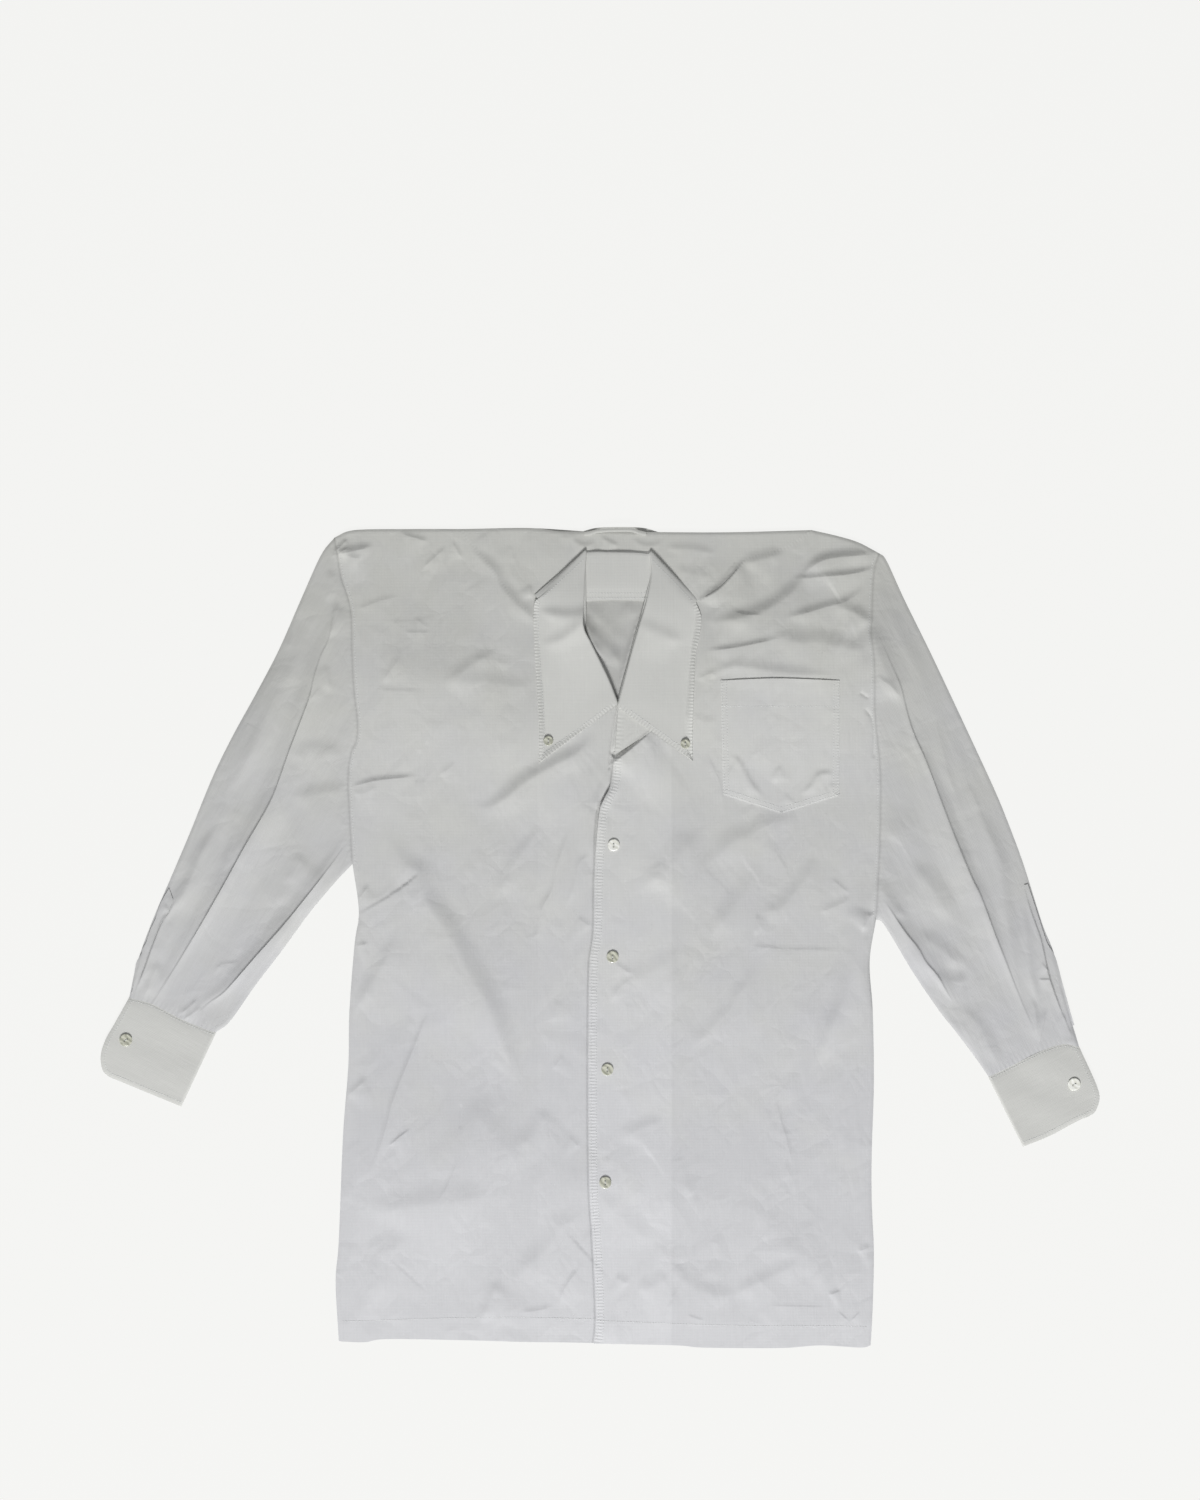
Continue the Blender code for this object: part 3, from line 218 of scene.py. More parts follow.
RIGHT_FRONT_CREASES = tuple(Crease(*row) for row in (
    (((90, 319), (111, 332), (125, 346), (138, 362)), 5, 14, 3.4),
    (((132, 357), (154, 363), (176, 368)), 8, 14, 2.4),
    (((71, 353), (109, 344)), 8, 10, 1.0),
    (((-27, 380), (-15, 374), (-4, 377)), 4, 6, 1.0),
    (((0, 382), (8, 378), (19, 372)), 3, 5, 1.1),
    (((-40, 381), (-20, 383)), 2, 4, 0.5),
    (((30, 380), (44, 374), (60, 376)), 4, 6, 0.8),
    (((60, 371), (84, 372), (112, 366)), 6, 8, 1.0),
    (((188, 340), (198, 353), (208, 360), (224, 364), (264, 367)), 7, 18, 3.6),
    (((104, 299), (128, 306), (150, 312), (167, 321), (183, 334), (198, 350)), 9, 22, 3.2),
    (((180, 342), (212, 345), (235, 347), (264, 353)), 5, 16, 2.6),
    (((172, 304), (199, 312), (212, 316), (233, 322), (250, 333)), 6, 12, 2.4),
    (((222, 318), (244, 311), (262, 298)), 8, 16, 2.8),
    (((125, 311), (138, 308), (156, 307)), 2.5, 8, 0.8),
    (((95, 303), (120, 306), (145, 300)), 10, 12, 1.0),
    (((98, 273), (127, 277), (143, 280), (172, 286)), 4, 14, 2.0),
    (((160, 291), (190, 285), (212, 285), (256, 274)), 12, 24, 2.8),
    (((96, 250), (113, 256), (127, 261), (145, 259), (181, 254), (225, 250)), 8, 10, 1.6),
    (((90, 246), (100, 251), (107, 253), (113, 246)), 4, 8, 0.7),
    (((89, 213), (100, 208), (111, 208)), 6, 8, 0.6),
    (((100, 177), (109, 161), (116, 143), (120, 109)), 3, 6, 0.6),
    (((34, 45), (48, 61), (64, 74), (78, 90), (96, 104)), 15, 24, 1.9),
    (((91, 74), (107, 79), (123, 95), (142, 102), (158, 112), (190, 118)), 12, 22, 2.0),
    (((98, -1), (110, 15), (123, 33), (137, 51), (143, 74)), 12, 20, 1.6),
    (((148, 24), (158, 28), (169, 31), (183, 47), (192, 58), (203, 81)), 9, 18, 1.6),
    (((146, 1), (148, 24)), 2, 6, 0.8),
    (((130, -6), (160, -8), (181, -10), (206, -10), (235, -12)), 3, 8, 0.45),
    (((82, -110), (103, -83), (119, -67), (128, -51), (137, -40), (144, -22)), 9, 14, 1.2),
    (((196, -130), (208, -104), (216, -82), (228, -54), (238, -17), (242, 19), (246, 60)), 11, 16, 2.8),
    (((206, 26), (224, 33), (238, 40)), 6, 8, 1.0),
    (((219, 58), (228, 51), (238, 42)), 3, 6, 0.6),
    (((262, 24), (256, 14), (250, 4)), 6, 8, 2.0),
    (((14, -22), (32, -34)), 4, 7, 0.7),
    (((16, -42), (41, -31), (74, -12)), 12, 18, 1.0),
    (((9, -63), (14, -49), (30, -35)), 5, 8, 0.7),
    (((18, -193), (31, -180), (47, -174), (62, -170)), 9, 20, 1.2),
    (((-2, -241), (14, -252), (27, -266), (39, -276), (57, -288)), 12, 20, 1.1),
    (((55, -287), (69, -307), (84, -319)), 5, 10, 0.4),
    (((33, -331), (49, -327), (65, -317)), 10, 14, 1.2),
    (((65, -317), (78, -319), (96, -331), (116, -336), (131, -335)), 11, 18, 1.4),
    (((122, -340), (140, -328), (159, -319), (179, -309), (190, -302)), 9, 18, 1.4),
    (((143, -246), (161, -266), (177, -283), (198, -305)), 14, 16, 0.9),
    (((167, -148), (173, -174), (179, -193), (184, -219)), 2.5, 8, 0.7),
    (((188, -262), (202, -288), (212, -313), (218, -342)), 10, 18, 1.2),
    (((216, -338), (228, -334)), 3, 6, 1.0),
    (((226, -354), (237, -364)), 1.5, 3, 0.5),
    (((237, -364), (247, -354)), 1.5, 3, 0.5),
    (((243, -296), (257, -291)), 5, 8, 1.0),
    (((157, -348), (216, -350)), 2, 6, 0.3),
    (((82, -357), (100, -363)), 2, 4, 0.4),
    (((15, -319), (29, -327)), 6, 8, 0.8),
    (((5, 161.5), (16.5, 171.3), (31, 183), (45, 195), (52, 200)), 4.5, 26, 3.6),
    (((120, 172), (129, 172), (136, 163), (143, 150), (152, 138), (158, 132)), 4, 8, 1.4),
    (((163, 145), (165, 156), (172, 165)), 3, 6, 1.0),
    (((188, 136), (199, 145), (206, 156), (219, 157.5), (224, 154)), 4, 8, 1.4),
    (((176, 138), (185, 127)), 2.5, 4, 0.6),
    (((212, 219), (226, 215)), 3, 5, 0.4),
    (((215, 145), (226, 146)), 3, 4, 0.5),
))
SLEEVE_CREASES = tuple(Crease(*row) for row in (
    # the left sleeve: its two pressed folds, then the others
    (((-440, -88), (-425, -62), (-397, -17), (-376, 18), (-356, 53), (-335, 91), (-318, 120), (-308, 141),
      (-296, 175), (-286, 201), (-276, 228), (-271, 249), (-265, 268), (-258, 283), (-254, 304),
      (-250, 340)), 1.5, 10, 2.3),
    (((-391, -79), (-372, -62), (-358, -52), (-345, -38), (-325, -15), (-296, 18), (-262, 61), (-236, 97)),
      1.5, 8, 2.2),
    (((-258, 283), (-254, 304), (-251, 320)), 5, 8, 1.5),
    (((-430, -60), (-402, -14.5), (-381, 20.5), (-361, 55.5), (-340, 93.5), (-323, 122.5), (-313.5, 143),
      (-301.5, 177), (-291.5, 203), (-281.5, 230), (-276.5, 250.5), (-270.5, 269), (-263.5, 284),
      (-260, 304), (-258, 325)), 12, 10, 3.4),
    (((-362, 130), (-348, 160), (-336, 190), (-318, 226), (-300, 262), (-284, 300)), 22, 16, 3.4),
    (((-394, -75), (-375, -58), (-361, -48), (-348.5, -34.5), (-328.5, -11.5), (-299.5, 21.5),
      (-265.5, 64.5), (-240, 100)), 9, 7, 2.8),
    (((-276, 225), (-266, 239)), 2, 4, 0.6),
    (((-259, 261), (-253, 232)), 5, 8, 0.8),
    (((-416, 14), (-408, 30), (-395, 50), (-381, 82), (-364, 110)), 8, 10, 2.8),
    (((-360, 61), (-356, 78), (-345, 111)), 6, 10, 0.9),
    (((-302, 51), (-285, 82)), 8, 12, 0.8),
    (((-368, -36), (-361, -25), (-341, -22)), 2.5, 5, 0.5),
    (((-320, 30), (-298, 56), (-272, 84)), 16, 16, 1.0),
    (((-401, -73), (-381, -56)), 3, 4, 0.9),
    (((-398, -78), (-378, -64)), 3, 4, 0.9),
    (((-436, -58), (-428, -38), (-420, -20)), 6, 8, 1.4),
    (((-300, 176), (-270, 180), (-240, 178)), 12, 10, 1.0),
    (((-296, 136), (-263, 141), (-238, 148)), 9, 16, 1.3),
    (((-282, 184), (-248, 182)), 8, 12, 0.7),
    (((-344, 160), (-330, 184), (-318, 218), (-306, 249)), 9, 12, 1.0),
    (((-301, 270), (-289, 306)), 5, 6, 0.8),
    (((-260, 316), (-259, 352)), 6, 8, 1.0),
    (((-351, 96), (-347, 125)), 5, 8, 0.6),
    (((-445, -57), (-439, -45), (-431.5, -26), (-427, -13), (-416, 15), (-409, 25), (-402, 40)), 1.5, 6, 2.0),
    (((-413, 33), (-408, 25)), 1.4, 4, 1.0),
    (((-445, -52), (-442, -38), (-438, -22), (-434, -10)), 3, 2, 0.9),
    # the right sleeve
    (((258, 299), (268, 278), (278, 256), (286, 237), (292, 213), (299, 192), (309, 170), (318, 146),
      (335, 101), (352, 60), (362, 39), (375, 4), (385, -21), (397, -52), (410, -83), (422, -115)),
      1.5, 8, 1.9),
    (((265, 41), (275, 28), (290, 6), (302, -9), (310, -23), (321, -36), (331, -54), (340, -65)),
      1.5, 5, 1.4),
    (((401, 54), (409, 27), (419, -2), (426, -34), (435, -61), (446, -90)), 1.5, 5, 1.8),
    (((419, -23), (427, -32)), 1.5, 4, 0.6),
    (((416, -39), (428, -39)), 1.5, 4, 0.9),
    (((425, -67), (421, -85), (417, -103)), 2, 5, 1.2),
    (((439, -69), (449, -95)), 1.5, 4, 1.0),
    (((254, 306), (262, 288), (270, 270), (280, 246), (290, 218)), 14, 12, 3.3),
    (((295, 219), (302.5, 193), (312.5, 171), (321.5, 147), (338.5, 102), (355.5, 61), (365.5, 40),
      (378.5, 5), (388.5, -20), (400.5, -51), (413, -84)), 7, 9, 2.2),
    (((261, 251), (278, 239), (287, 227)), 4, 7, 1.0),
    (((268, 43.5), (278, 30.5), (293, 8.5), (305, -6.5), (313, -20.5), (324, -33.5), (334, -51.5),
      (343, -62.5)), 12, 7, 2.8),
    (((341, -63), (360, -78), (372, -100), (383, -123)), 8, 12, 1.5),
    (((316, -33), (330, -38), (350, -36)), 9, 12, 1.4),
    (((296, 76), (312, 58), (326, 40), (338, 12)), 12, 12, 2.2),
    (((304, 10), (326, -8), (350, -27)), 10, 12, 2.0),
    (((350, 140), (370, 104), (383, 72), (387, 41), (392, 6), (397, -25), (404, -56)), 9, 12, 2.2),
    (((404, 30), (409, -5), (414, -40), (420, -66)), 8, 8, 2.2),
    (((318, 213), (326, 184), (333, 156), (340, 132)), 5, 9, 0.8),
    (((350, 148), (364, 120)), 5, 9, 0.7),
    (((412, -56), (416, -77), (416, -98)), 4, 6, 1.2),
    (((264, 96), (278, 108), (304, 112)), 18, 16, 1.1),
    (((264, 60), (280, 36), (296, 18)), 10, 10, 1.8),
    (((440, -108), (446, -86), (450, -72)), 6, 8, 2.0),
))
NECK_CREASES = tuple(Crease(*row) for row in (
    (((-16, 302), (2, 286), (15, 271), (26, 256)), 9, 12, 2.6),
    (((-12, 320), (8, 300), (30, 280)), 10, 12, 1.6),
    (((25, 320), (38, 307)), 8, 8, 0.8),
    (((-15, 312), (-11, 290), (-3, 269), (6, 250), (16, 226)), 3.6, 2, 3.4),
    (((-13, 312), (-9, 296), (-3, 281), (6, 262)), 8, 2, 3.4),
    (((42, 316), (36, 294), (30, 272), (24, 252), (17, 226)), 2.6, 2, 3.0),
))
COLLAR_CREASES = tuple(Crease(*row) for row in (
    (((-60, 312), (-40, 309), (-22, 309), (2, 318)), 8, 10, 2.6),
    (((-58, 279), (-38, 286), (-24, 296), (-2, 320)), 8, 15, 2.4),
    (((34, 303), (50, 295), (61, 291), (82, 282)), 9, 11, 1.5),
))

# Narrow folds pressed in along a line: half the width, and the depth. Ridges have a height below zero.
Groove = namedtuple("Groove", "path half_width depth")
GROOVES = tuple(Groove(*row) for row in (
    (((11, 172.5), (16.5, 176.5), (31, 188), (42, 197.5)), 3.4, 2.2),
    (((8.5, 158), (10.5, 176), (12.5, 195), (16.5, 216), (19, 232)), 1.2, 1.4),
    (((-171, 177), (-174, 148)), 1.5, 0.3),
    (((-164, 186), (-168, 148)), 1.5, 0.3),
    (((-132, -158), (-133, -181)), 1.5, 0.3),
    (((251, 218), (259, 204), (260, 170)), 1.5, 0.7),
    (((246, 233), (255, 227)), 1.5, 0.6),
    (((-112, 384), (-90, 352), (-66, 322)), 9, -0.5),
    (((74, -209), (82, -234), (88, -244)), 5, -0.3),
))

# Broad soft folds: the line along the crest, how far the cloth takes to fall on its left and on its
# right, and the height
BROAD_FOLDS = tuple(Crease(*row) for row in (
    (((10, 245), (90, 250), (160, 255), (262, 250), (340, 245)), 118, 130, 7.5),
    (((-340, 250), (-245, 250), (-150, 250), (-60, 245), (20, 240)), 110, 120, 3.6),
    (((-340, -215), (-245, -215), (-170, -205), (-95, -212), (-20, -220)), 120, 120, 3.2),
    (((-160, 165), (-120, 180), (-60, 200), (0, 225), (40, 240)), 60, 60, 2.4),
    (((-100, -242), (-40, -240), (0, -236), (60, -232), (120, -230)), 60, 60, 1.8),
))

Swell = namedtuple("Swell", "x y reach_x reach_y height")
SWELLS = tuple(Swell(*row) for row in (
    (-150, 200, 80, 110, 1.8),
    (-110, -60, 90, 110, 1.8),
    (-150, -250, 90, 100, 1.6),
    (160, 190, 80, 100, 1.2),
    (150, -60, 90, 120, 1.8),
    (140, -240, 90, 100, 1.6),
    (20, 352, 130, 34, 0.6),
    (-330, 120, 90, 150, 1.2),
    (345, 90, 90, 150, 1.2),
))

# Small creases between the named ones: how many, and their least and most length, widths and height
SMALL_CREASES = 230
SMALL_LENGTH = (14.0, 62.0)
SMALL_STEEP = (3.0, 9.0)
SMALL_GENTLE = (5.0, 18.0)
SMALL_HEIGHT = (0.08, 0.3)

# The fall of the collar, from the foot of the left leaf round behind the neck to the foot of the right
# one. Each row is a section from the roll line to the free edge, at the middle of the cloth.
Section = namedtuple("Section", "roll_x roll_y roll_z edge_x edge_y edge_z crown")
LEFT_LEAF = tuple(Section(*row) for row in (
    (16.2, 221.5, 5.4, -58, 166, 3.6, 0.4),
    (13.5, 229, 5.5, -57.5, 185, 3.6, 0.6),
    (8, 243, 5.7, -57.5, 207, 3.6, 0.9),
    (-1, 262, 7.2, -59.5, 236, 3.6, 1.0),
    (-10, 280, 8.2, -61.5, 266, 3.6, 0.9),
    (-17, 296, 8.9, -62.5, 288, 3.7, 0.9),
    (-16.5, 320, 9.0, -63, 308, 4.2, 1.0),
    (-15.5, 344, 7.4, -61.5, 319, 5.2, 1.0),
    (-14.0, 364.8, 6.2, -58.2, 321.8, 5.2, 0.4),
))
UNDER_THE_BACK = tuple(Section(*row) for row in (
    (-14.5, 367, 4.9, -60.8, 323.5, 4.4, 0.0),
    (-12, 366.5, 3.6, -59.0, 327, 3.6, 0.0),
    (0, 366, 3.6, -30, 337, 3.6, 0.0),
    (17, 365.5, 3.6, 17, 339, 3.6, 0.0),
    (34, 366, 3.6, 64, 336, 3.6, 0.0),
    (46, 366, 3.6, 91, 323, 3.6, 0.0),
    (49.5, 366, 4.9, 93.0, 320.0, 4.4, 0.0),
))
RIGHT_LEAF = tuple(Section(*row) for row in (
    (48, 363.8, 6.2, 90.8, 318.8, 5.2, 0.4),
    (50.0, 346, 7.4, 94.4, 310, 5.2, 1.0),
    (45.5, 320, 9.0, 96, 302, 4.2, 1.0),
    (38.5, 296, 8.6, 94, 286, 3.7, 1.0),
    (31, 270, 8.0, 90, 268, 3.6, 0.9),
    (25, 247, 7.4, 89, 238, 3.6, 1.1),
    (20.5, 230, 6.9, 88, 212, 3.6, 1.3),
    (19, 222, 6.8, 87.5, 189, 3.6, 1.0),
    (20, 217, 6.8, 88, 168, 3.6, 0.9),
))
Band = namedtuple("Band", "roll_x roll_y roll_z seam_x seam_y seam_z")
STAND = tuple(Band(*row) for row in (
    (9, 236, 3.8, -5, 211, 3.6),
    (1, 253, 4.0, -26, 224, 3.6),
    (-7, 270, 4.4, -42, 246, 3.6),
    (-14, 287, 5.0, -50, 268, 3.6),
    (-14.5, 304, 5.8, -50, 284, 3.8),
    (-14.5, 324, 6.6, -49, 294, 4.6),
    (-14.5, 344, 6.0, -48.5, 299, 5.2),
    (-15, 363.5, 5.4, -47.5, 302, 5.3),
    (-14.5, 365.5, 4.9, -48.5, 303.5, 4.5),
    (-12, 365.2, 4.5, -45.5, 304, 3.8),
    (-4, 365.6, 4.4, -31, 312.5, 3.7),
    (5, 365.4, 4.4, -13, 319, 3.7),
    (17, 365.2, 4.4, 16, 320.4, 3.7),
    (29, 365.0, 4.4, 45, 319, 3.7),
    (38, 364.6, 4.4, 62, 313, 3.7),
    (45.5, 363.9, 4.5, 75, 306, 3.8),
    (48, 364.5, 4.9, 78, 305.5, 4.5),
    (48.5, 362.5, 5.4, 77.5, 304, 5.3),
    (49, 344, 6.0, 79.5, 300, 5.2),
    (44.5, 324, 6.6, 80, 294, 4.6),
    (39.5, 304, 5.8, 80, 281, 3.8),
    (33.5, 284, 5.2, 77, 258, 3.6),
    (28.5, 264, 5.1, 70, 232, 3.6),
    (23, 244, 5.1, 60, 212, 4.4),
    (19, 228, 5.1, 48, 196.5, 5.1),
    (17.2, 216.8, 5.1, 14, 173.5, 5.1),
))
STAND_ACROSS = (0.0, 0.25, 0.5, 0.7, 0.84, 1.0)
FALL_ACROSS = (0.0, 0.12, 0.3, 0.52, 0.7, 0.85, 1.0)

Strip = namedtuple("Strip", "x low_y high_y height")
LOOP_SECTIONS = tuple(Strip(*row) for row in (
    (-15, 381.5, 385, 3.0),
    (-9, 382, 386, 3.0),
    (-3, 384, 387.4, 4.0),
    (8, 385, 388, 5.0),
    (20, 385.2, 388.2, 5.2),
    (31, 384.8, 388.2, 4.8),
    (37, 382.5, 386.6, 3.6),
    (44, 381.5, 385, 3.0),
))

# Buttons: diameter, thickness and where each one lies: x, y, size and the turn of its holes in degrees
FRONT_BUTTON = (11.3, 2.4)
COLLAR_BUTTON = (9.0, 2.2)
CUFF_BUTTON = (12.0, 2.4)
BUTTON_PLACES = {
    "button_front_1": (13, 88, FRONT_BUTTON, 90),
    "button_front_2": (12, -18, FRONT_BUTTON, 90),
    "button_front_3": (7, -125, FRONT_BUTTON, 90),
    "button_front_4": (5, -232, FRONT_BUTTON, 90),
    "button_collar_left": (-49, 187, COLLAR_BUTTON, 90),
    "button_collar_right": (81, 184, COLLAR_BUTTON, 90),
    "button_cuff_left": (-450, -97, CUFF_BUTTON, 34),
    "button_cuff_right": (450, -139, CUFF_BUTTON, 34),
}
HOLE_RADIUS = 0.8
HOLE_SPACING = 3.0
# The share of the thickness that the shell has, and its gap to the cloth
SHELL_SHARE = 0.62
BUTTON_GAP = 0.06


# Paths and places


def smoothstep(value):
    value = np.clip(value, 0.0, 1.0)
    return value * value * (3.0 - 2.0 * value)


def through(values, spans):
    """Points on a smooth curve through some values, with so many spans from each value to the next."""
    ends = np.concatenate([2 * values[:1] - values[1:2], values, 2 * values[-1:] - values[-2:-1]])
    fine = []
    for a, b, c, d in zip(ends[:-3], ends[1:-2], ends[2:-1], ends[3:]):
        for t in np.linspace(0, 1, spans, endpoint=False):
            fine.append(0.5 * (2 * b + (c - a) * t + (2 * a - 5 * b + 4 * c - d) * t * t
                               + (3 * b - a - 3 * c + d) * t ** 3))
    return np.array(fine + [values[-1]])


def smooth_path(points, spans):
    """Evenly spaced points, one more than the spans, on a smooth line through the given ones."""
    dense = through(np.array(points, float), CURVE_SPANS)
    along = np.concatenate([[0], np.cumsum(np.linalg.norm(np.diff(dense, axis=0), axis=1))])
    wanted = np.linspace(0, along[-1], spans + 1)
    return np.stack([np.interp(wanted, along, column) for column in dense.T], axis=1)


def stepped(points, spacing):
    """A smooth line through the points, with its own points about a spacing apart."""
    points = np.array(points, float)
    length = np.linalg.norm(np.diff(points, axis=0), axis=1).sum()
    return smooth_path(points, max(2, round(length / spacing)))


def moved_aside(path, distance):
    """The path moved to its left, seen along its direction."""
    direction = np.gradient(path, axis=0)
    direction /= np.linalg.norm(direction, axis=1)[:, None]
    return path + distance * np.stack([-direction[:, 1], direction[:, 0]], axis=1)


def closed(*edges):
    """A closed outline from edges that follow each other round it, without doubled points."""
    ring = np.vstack([edges[0]] + [edge[1:] for edge in edges[1:]])[:-1]
    return ring[np.linalg.norm(ring - np.roll(ring, 1, axis=0), axis=1) > DOUBLED]


def distance_to(places, path):
    """How far each place is from a path, counted from 0 to 1 along it where, and on which side."""
    start, end = path[:-1], path[1:]
    step = end - start
    length = np.linalg.norm(step, axis=1)
    before = np.concatenate([[0], np.cumsum(length)[:-1]])
    from_start = places[:, None] - start
    share = np.clip((from_start * step).sum(2) / np.maximum(length ** 2, 1e-9), 0, 1)
    off = np.linalg.norm(from_start - share[:, :, None] * step, axis=2)
    nearest = off.argmin(axis=1)
    row = np.arange(len(places))
    along = (before[nearest] + share[row, nearest] * length[nearest]) / length.sum()
    away = from_start[row, nearest]
    side = step[nearest, 0] * away[:, 1] - step[nearest, 1] * away[:, 0]
    return off[row, nearest], along, side >= 0


def inside(places, outline):
    """Whether each place lies inside a closed outline."""
    x, y = places[:, 0], places[:, 1]
    found = np.zeros(len(places), bool)
    for (x0, y0), (x1, y1) in zip(outline, np.roll(outline, -1, axis=0)):
        if y0 != y1:
            crosses = (y0 > y) != (y1 > y)
            found ^= crosses & (x < x0 + (y - y0) * (x1 - x0) / (y1 - y0))
    return found


def tree_of(places):
    """A search tree of places on the plane."""
    tree = KDTree(len(places))
    for i, (x, y) in enumerate(places):
        tree.insert((x, y, 0), i)
    tree.balance()
    return tree


def clear_of(places, taken, gap):
    """The places that are further than a gap from all the taken ones."""
    tree = tree_of(taken)
    return places[np.array([tree.find((x, y, 0))[2] > gap for x, y in places], bool)]


def filled(outline, spacing, rows=()):
    """Places that fill an outline, first its own, then those of the rows and then a staggered grid, and
    the triangles between."""
    low, high = outline.min(axis=0), outline.max(axis=0)
    places = outline
    for row in rows:
        row = row[inside(row, outline)]
        if len(row):
            near = places[((places > row.min(axis=0) - 2) & (places < row.max(axis=0) + 2)).all(axis=1)]
            places = np.vstack([places, clear_of(row, near, ROW_GAP) if len(near) else row])
    grid = []
    for i, y in enumerate(np.arange(low[1] + 0.5 * spacing, high[1], 0.87 * spacing)):
        x = np.arange(low[0] + (0.25 + 0.5 * (i % 2)) * spacing, high[0], spacing)
        grid.append(np.column_stack([x, np.full(len(x), y)]))
    grid = np.vstack(grid)
    places = np.vstack([places, clear_of(grid[inside(grid, outline)], places, 0.62 * spacing)])
    corners = [Vector(place) for place in places.tolist()]
    result = delaunay_2d_cdt(corners, [], [list(range(len(outline)))], 1, 1e-4)
    return np.array([tuple(place) for place in result[0]]), [tuple(face) for face in result[2]]


def patch(left, right, foot, head):
    """A grid of places that fills four edges: rows run from foot to head, columns from left to right."""
    s = np.linspace(0, 1, len(foot))[None, :, None]
    t = np.linspace(0, 1, len(left))[:, None, None]
    sides = (1 - s) * left[:, None] + s * right[:, None]
    ends = (1 - t) * foot[None] + t * head[None]
    corners = ((1 - s) * (1 - t) * foot[0] + s * (1 - t) * foot[-1]
               + (1 - s) * t * head[0] + s * t * head[-1])
    return sides + ends - corners


def refined(grid, row_spans, column_spans):
    """A finer grid, smooth through the points of a coarse one in both directions."""
    fine = through(through(grid, row_spans).transpose(1, 0, 2), column_spans)
    return np.ascontiguousarray(fine.transpose(1, 0, 2))


# The height of the creased cloth


def small_creases():
    """Faint creases all over the shirt, the same ones each time."""
    random = np.random.default_rng(SEED)
    rows = []
    for _ in range(SMALL_CREASES):
        x, y = random.uniform(-440, 445), random.uniform(-375, 380)
        length = random.uniform(*SMALL_LENGTH)
        turn = random.normal(0.9 if x < 0 else 2.2, 1.0)
        across = 0.5 * length * np.array((math.cos(turn), math.sin(turn)))
        bend = random.uniform(-0.25, 0.25) * np.array((-across[1], across[0]))
        middle = np.array((x, y))
        rows.append(Crease((middle - across, middle + bend, middle + across), random.uniform(*SMALL_STEEP),
                           random.uniform(*SMALL_GENTLE), random.uniform(*SMALL_HEIGHT)))
    return tuple(rows)


def near_path(places, points, reach):
    """The places near a smooth line: which they are, how far off to its left, and the share along it."""
    path = stepped(points, 5)
    low, high = path.min(axis=0) - reach, path.max(axis=0) + reach
    near = np.flatnonzero(((places > low) & (places < high)).all(axis=1))
    if not len(near):
        return near, np.zeros(0), np.zeros(0)
    off, along, left = distance_to(places[near], path)
    return near, np.where(left, off, -off), along


def crease_height(places, creases):
    """The height that creases give each place. The steep side of a narrow crease starts at a crisp crest,
    and that of a wide one at a soft one. The other side comes up over a long way. Both sink towards the
    two ends of the crease."""
    height = np.zeros(len(places))
    shares = np.linspace(0, 1, 33)
    for crease in creases:
        near, off, along = near_path(places, crease.path, 1.3 * crease.steep + (1 + GENTLE) * crease.gentle)
        taper = smoothstep(np.minimum(along, 1 - along) / 0.3)
        width = 0.5 + 0.5 * taper
        down = np.clip((off / (crease.steep * width) + 0.5) / 1.7, 0, 1)
        slope = (shares + 0.02) ** min(1.0, crease.steep / 11) * (1 - shares) ** 1.8
        left = np.interp(down, shares, 1 - np.cumsum(slope) / slope.sum())
        up = np.clip((-off - 0.4 * crease.steep * width) / (GENTLE * crease.gentle * width), 0, 1)
        fading = taper + (smoothstep(np.minimum(along, 1 - along) / 0.5) - taper) * smoothstep(3 * up)
        height[near] += RELIEF * crease.height * fading * left * (1 - smoothstep(up))
    return height


def broad_height(places):
    """The height of the broad folds, whose crests are round."""
    height = np.zeros(len(places))
    for fold in BROAD_FOLDS:
        near, off, along = near_path(places, fold.path, max(fold.steep, fold.gentle) + 60)
        share = np.clip(np.where(off > 0, off / fold.steep, -off / fold.gentle), 0, 1)
        taper = smoothstep(np.minimum(along, 1 - along) / 0.35)
        height[near] += fold.height * taper * (0.5 + 0.5 * np.cos(np.pi * share))
    return height


def groove_height(places):
    """The height, below zero, that the grooves give each place."""
    height = np.zeros(len(places))
    for groove in GROOVES:
        near, off, along = near_path(places, groove.path, 3 * groove.half_width)
        height[near] -= groove.depth * np.exp(-(off / groove.half_width) ** 2) * smoothstep(
            np.minimum(along, 1 - along) / 0.06)
    return height


OUTER_EDGES = (SIDE_LEFT, SIDE_RIGHT, TOP_LEFT, TOP_MIDDLE, TOP_RIGHT, SLEEVE_LEFT_OUTER, SLEEVE_LEFT_INNER,
               SLEEVE_RIGHT_OUTER, SLEEVE_RIGHT_INNER)
ARMHOLES = (ARMHOLE_LEFT, ARMHOLE_RIGHT)
FAINT_CREASES = small_creases()
ALL_CREASES = LEFT_FRONT_CREASES + RIGHT_FRONT_CREASES + SLEEVE_CREASES + FAINT_CREASES


def nearest_of(places, paths, reach=30):
    """How far each place is from the nearest of some paths, up to a reach."""
    away = np.full(len(places), float(reach))
    for points in paths:
        near, off, _ = near_path(places, points, reach)
        away[near] = np.minimum(away[near], np.abs(off))
    return away


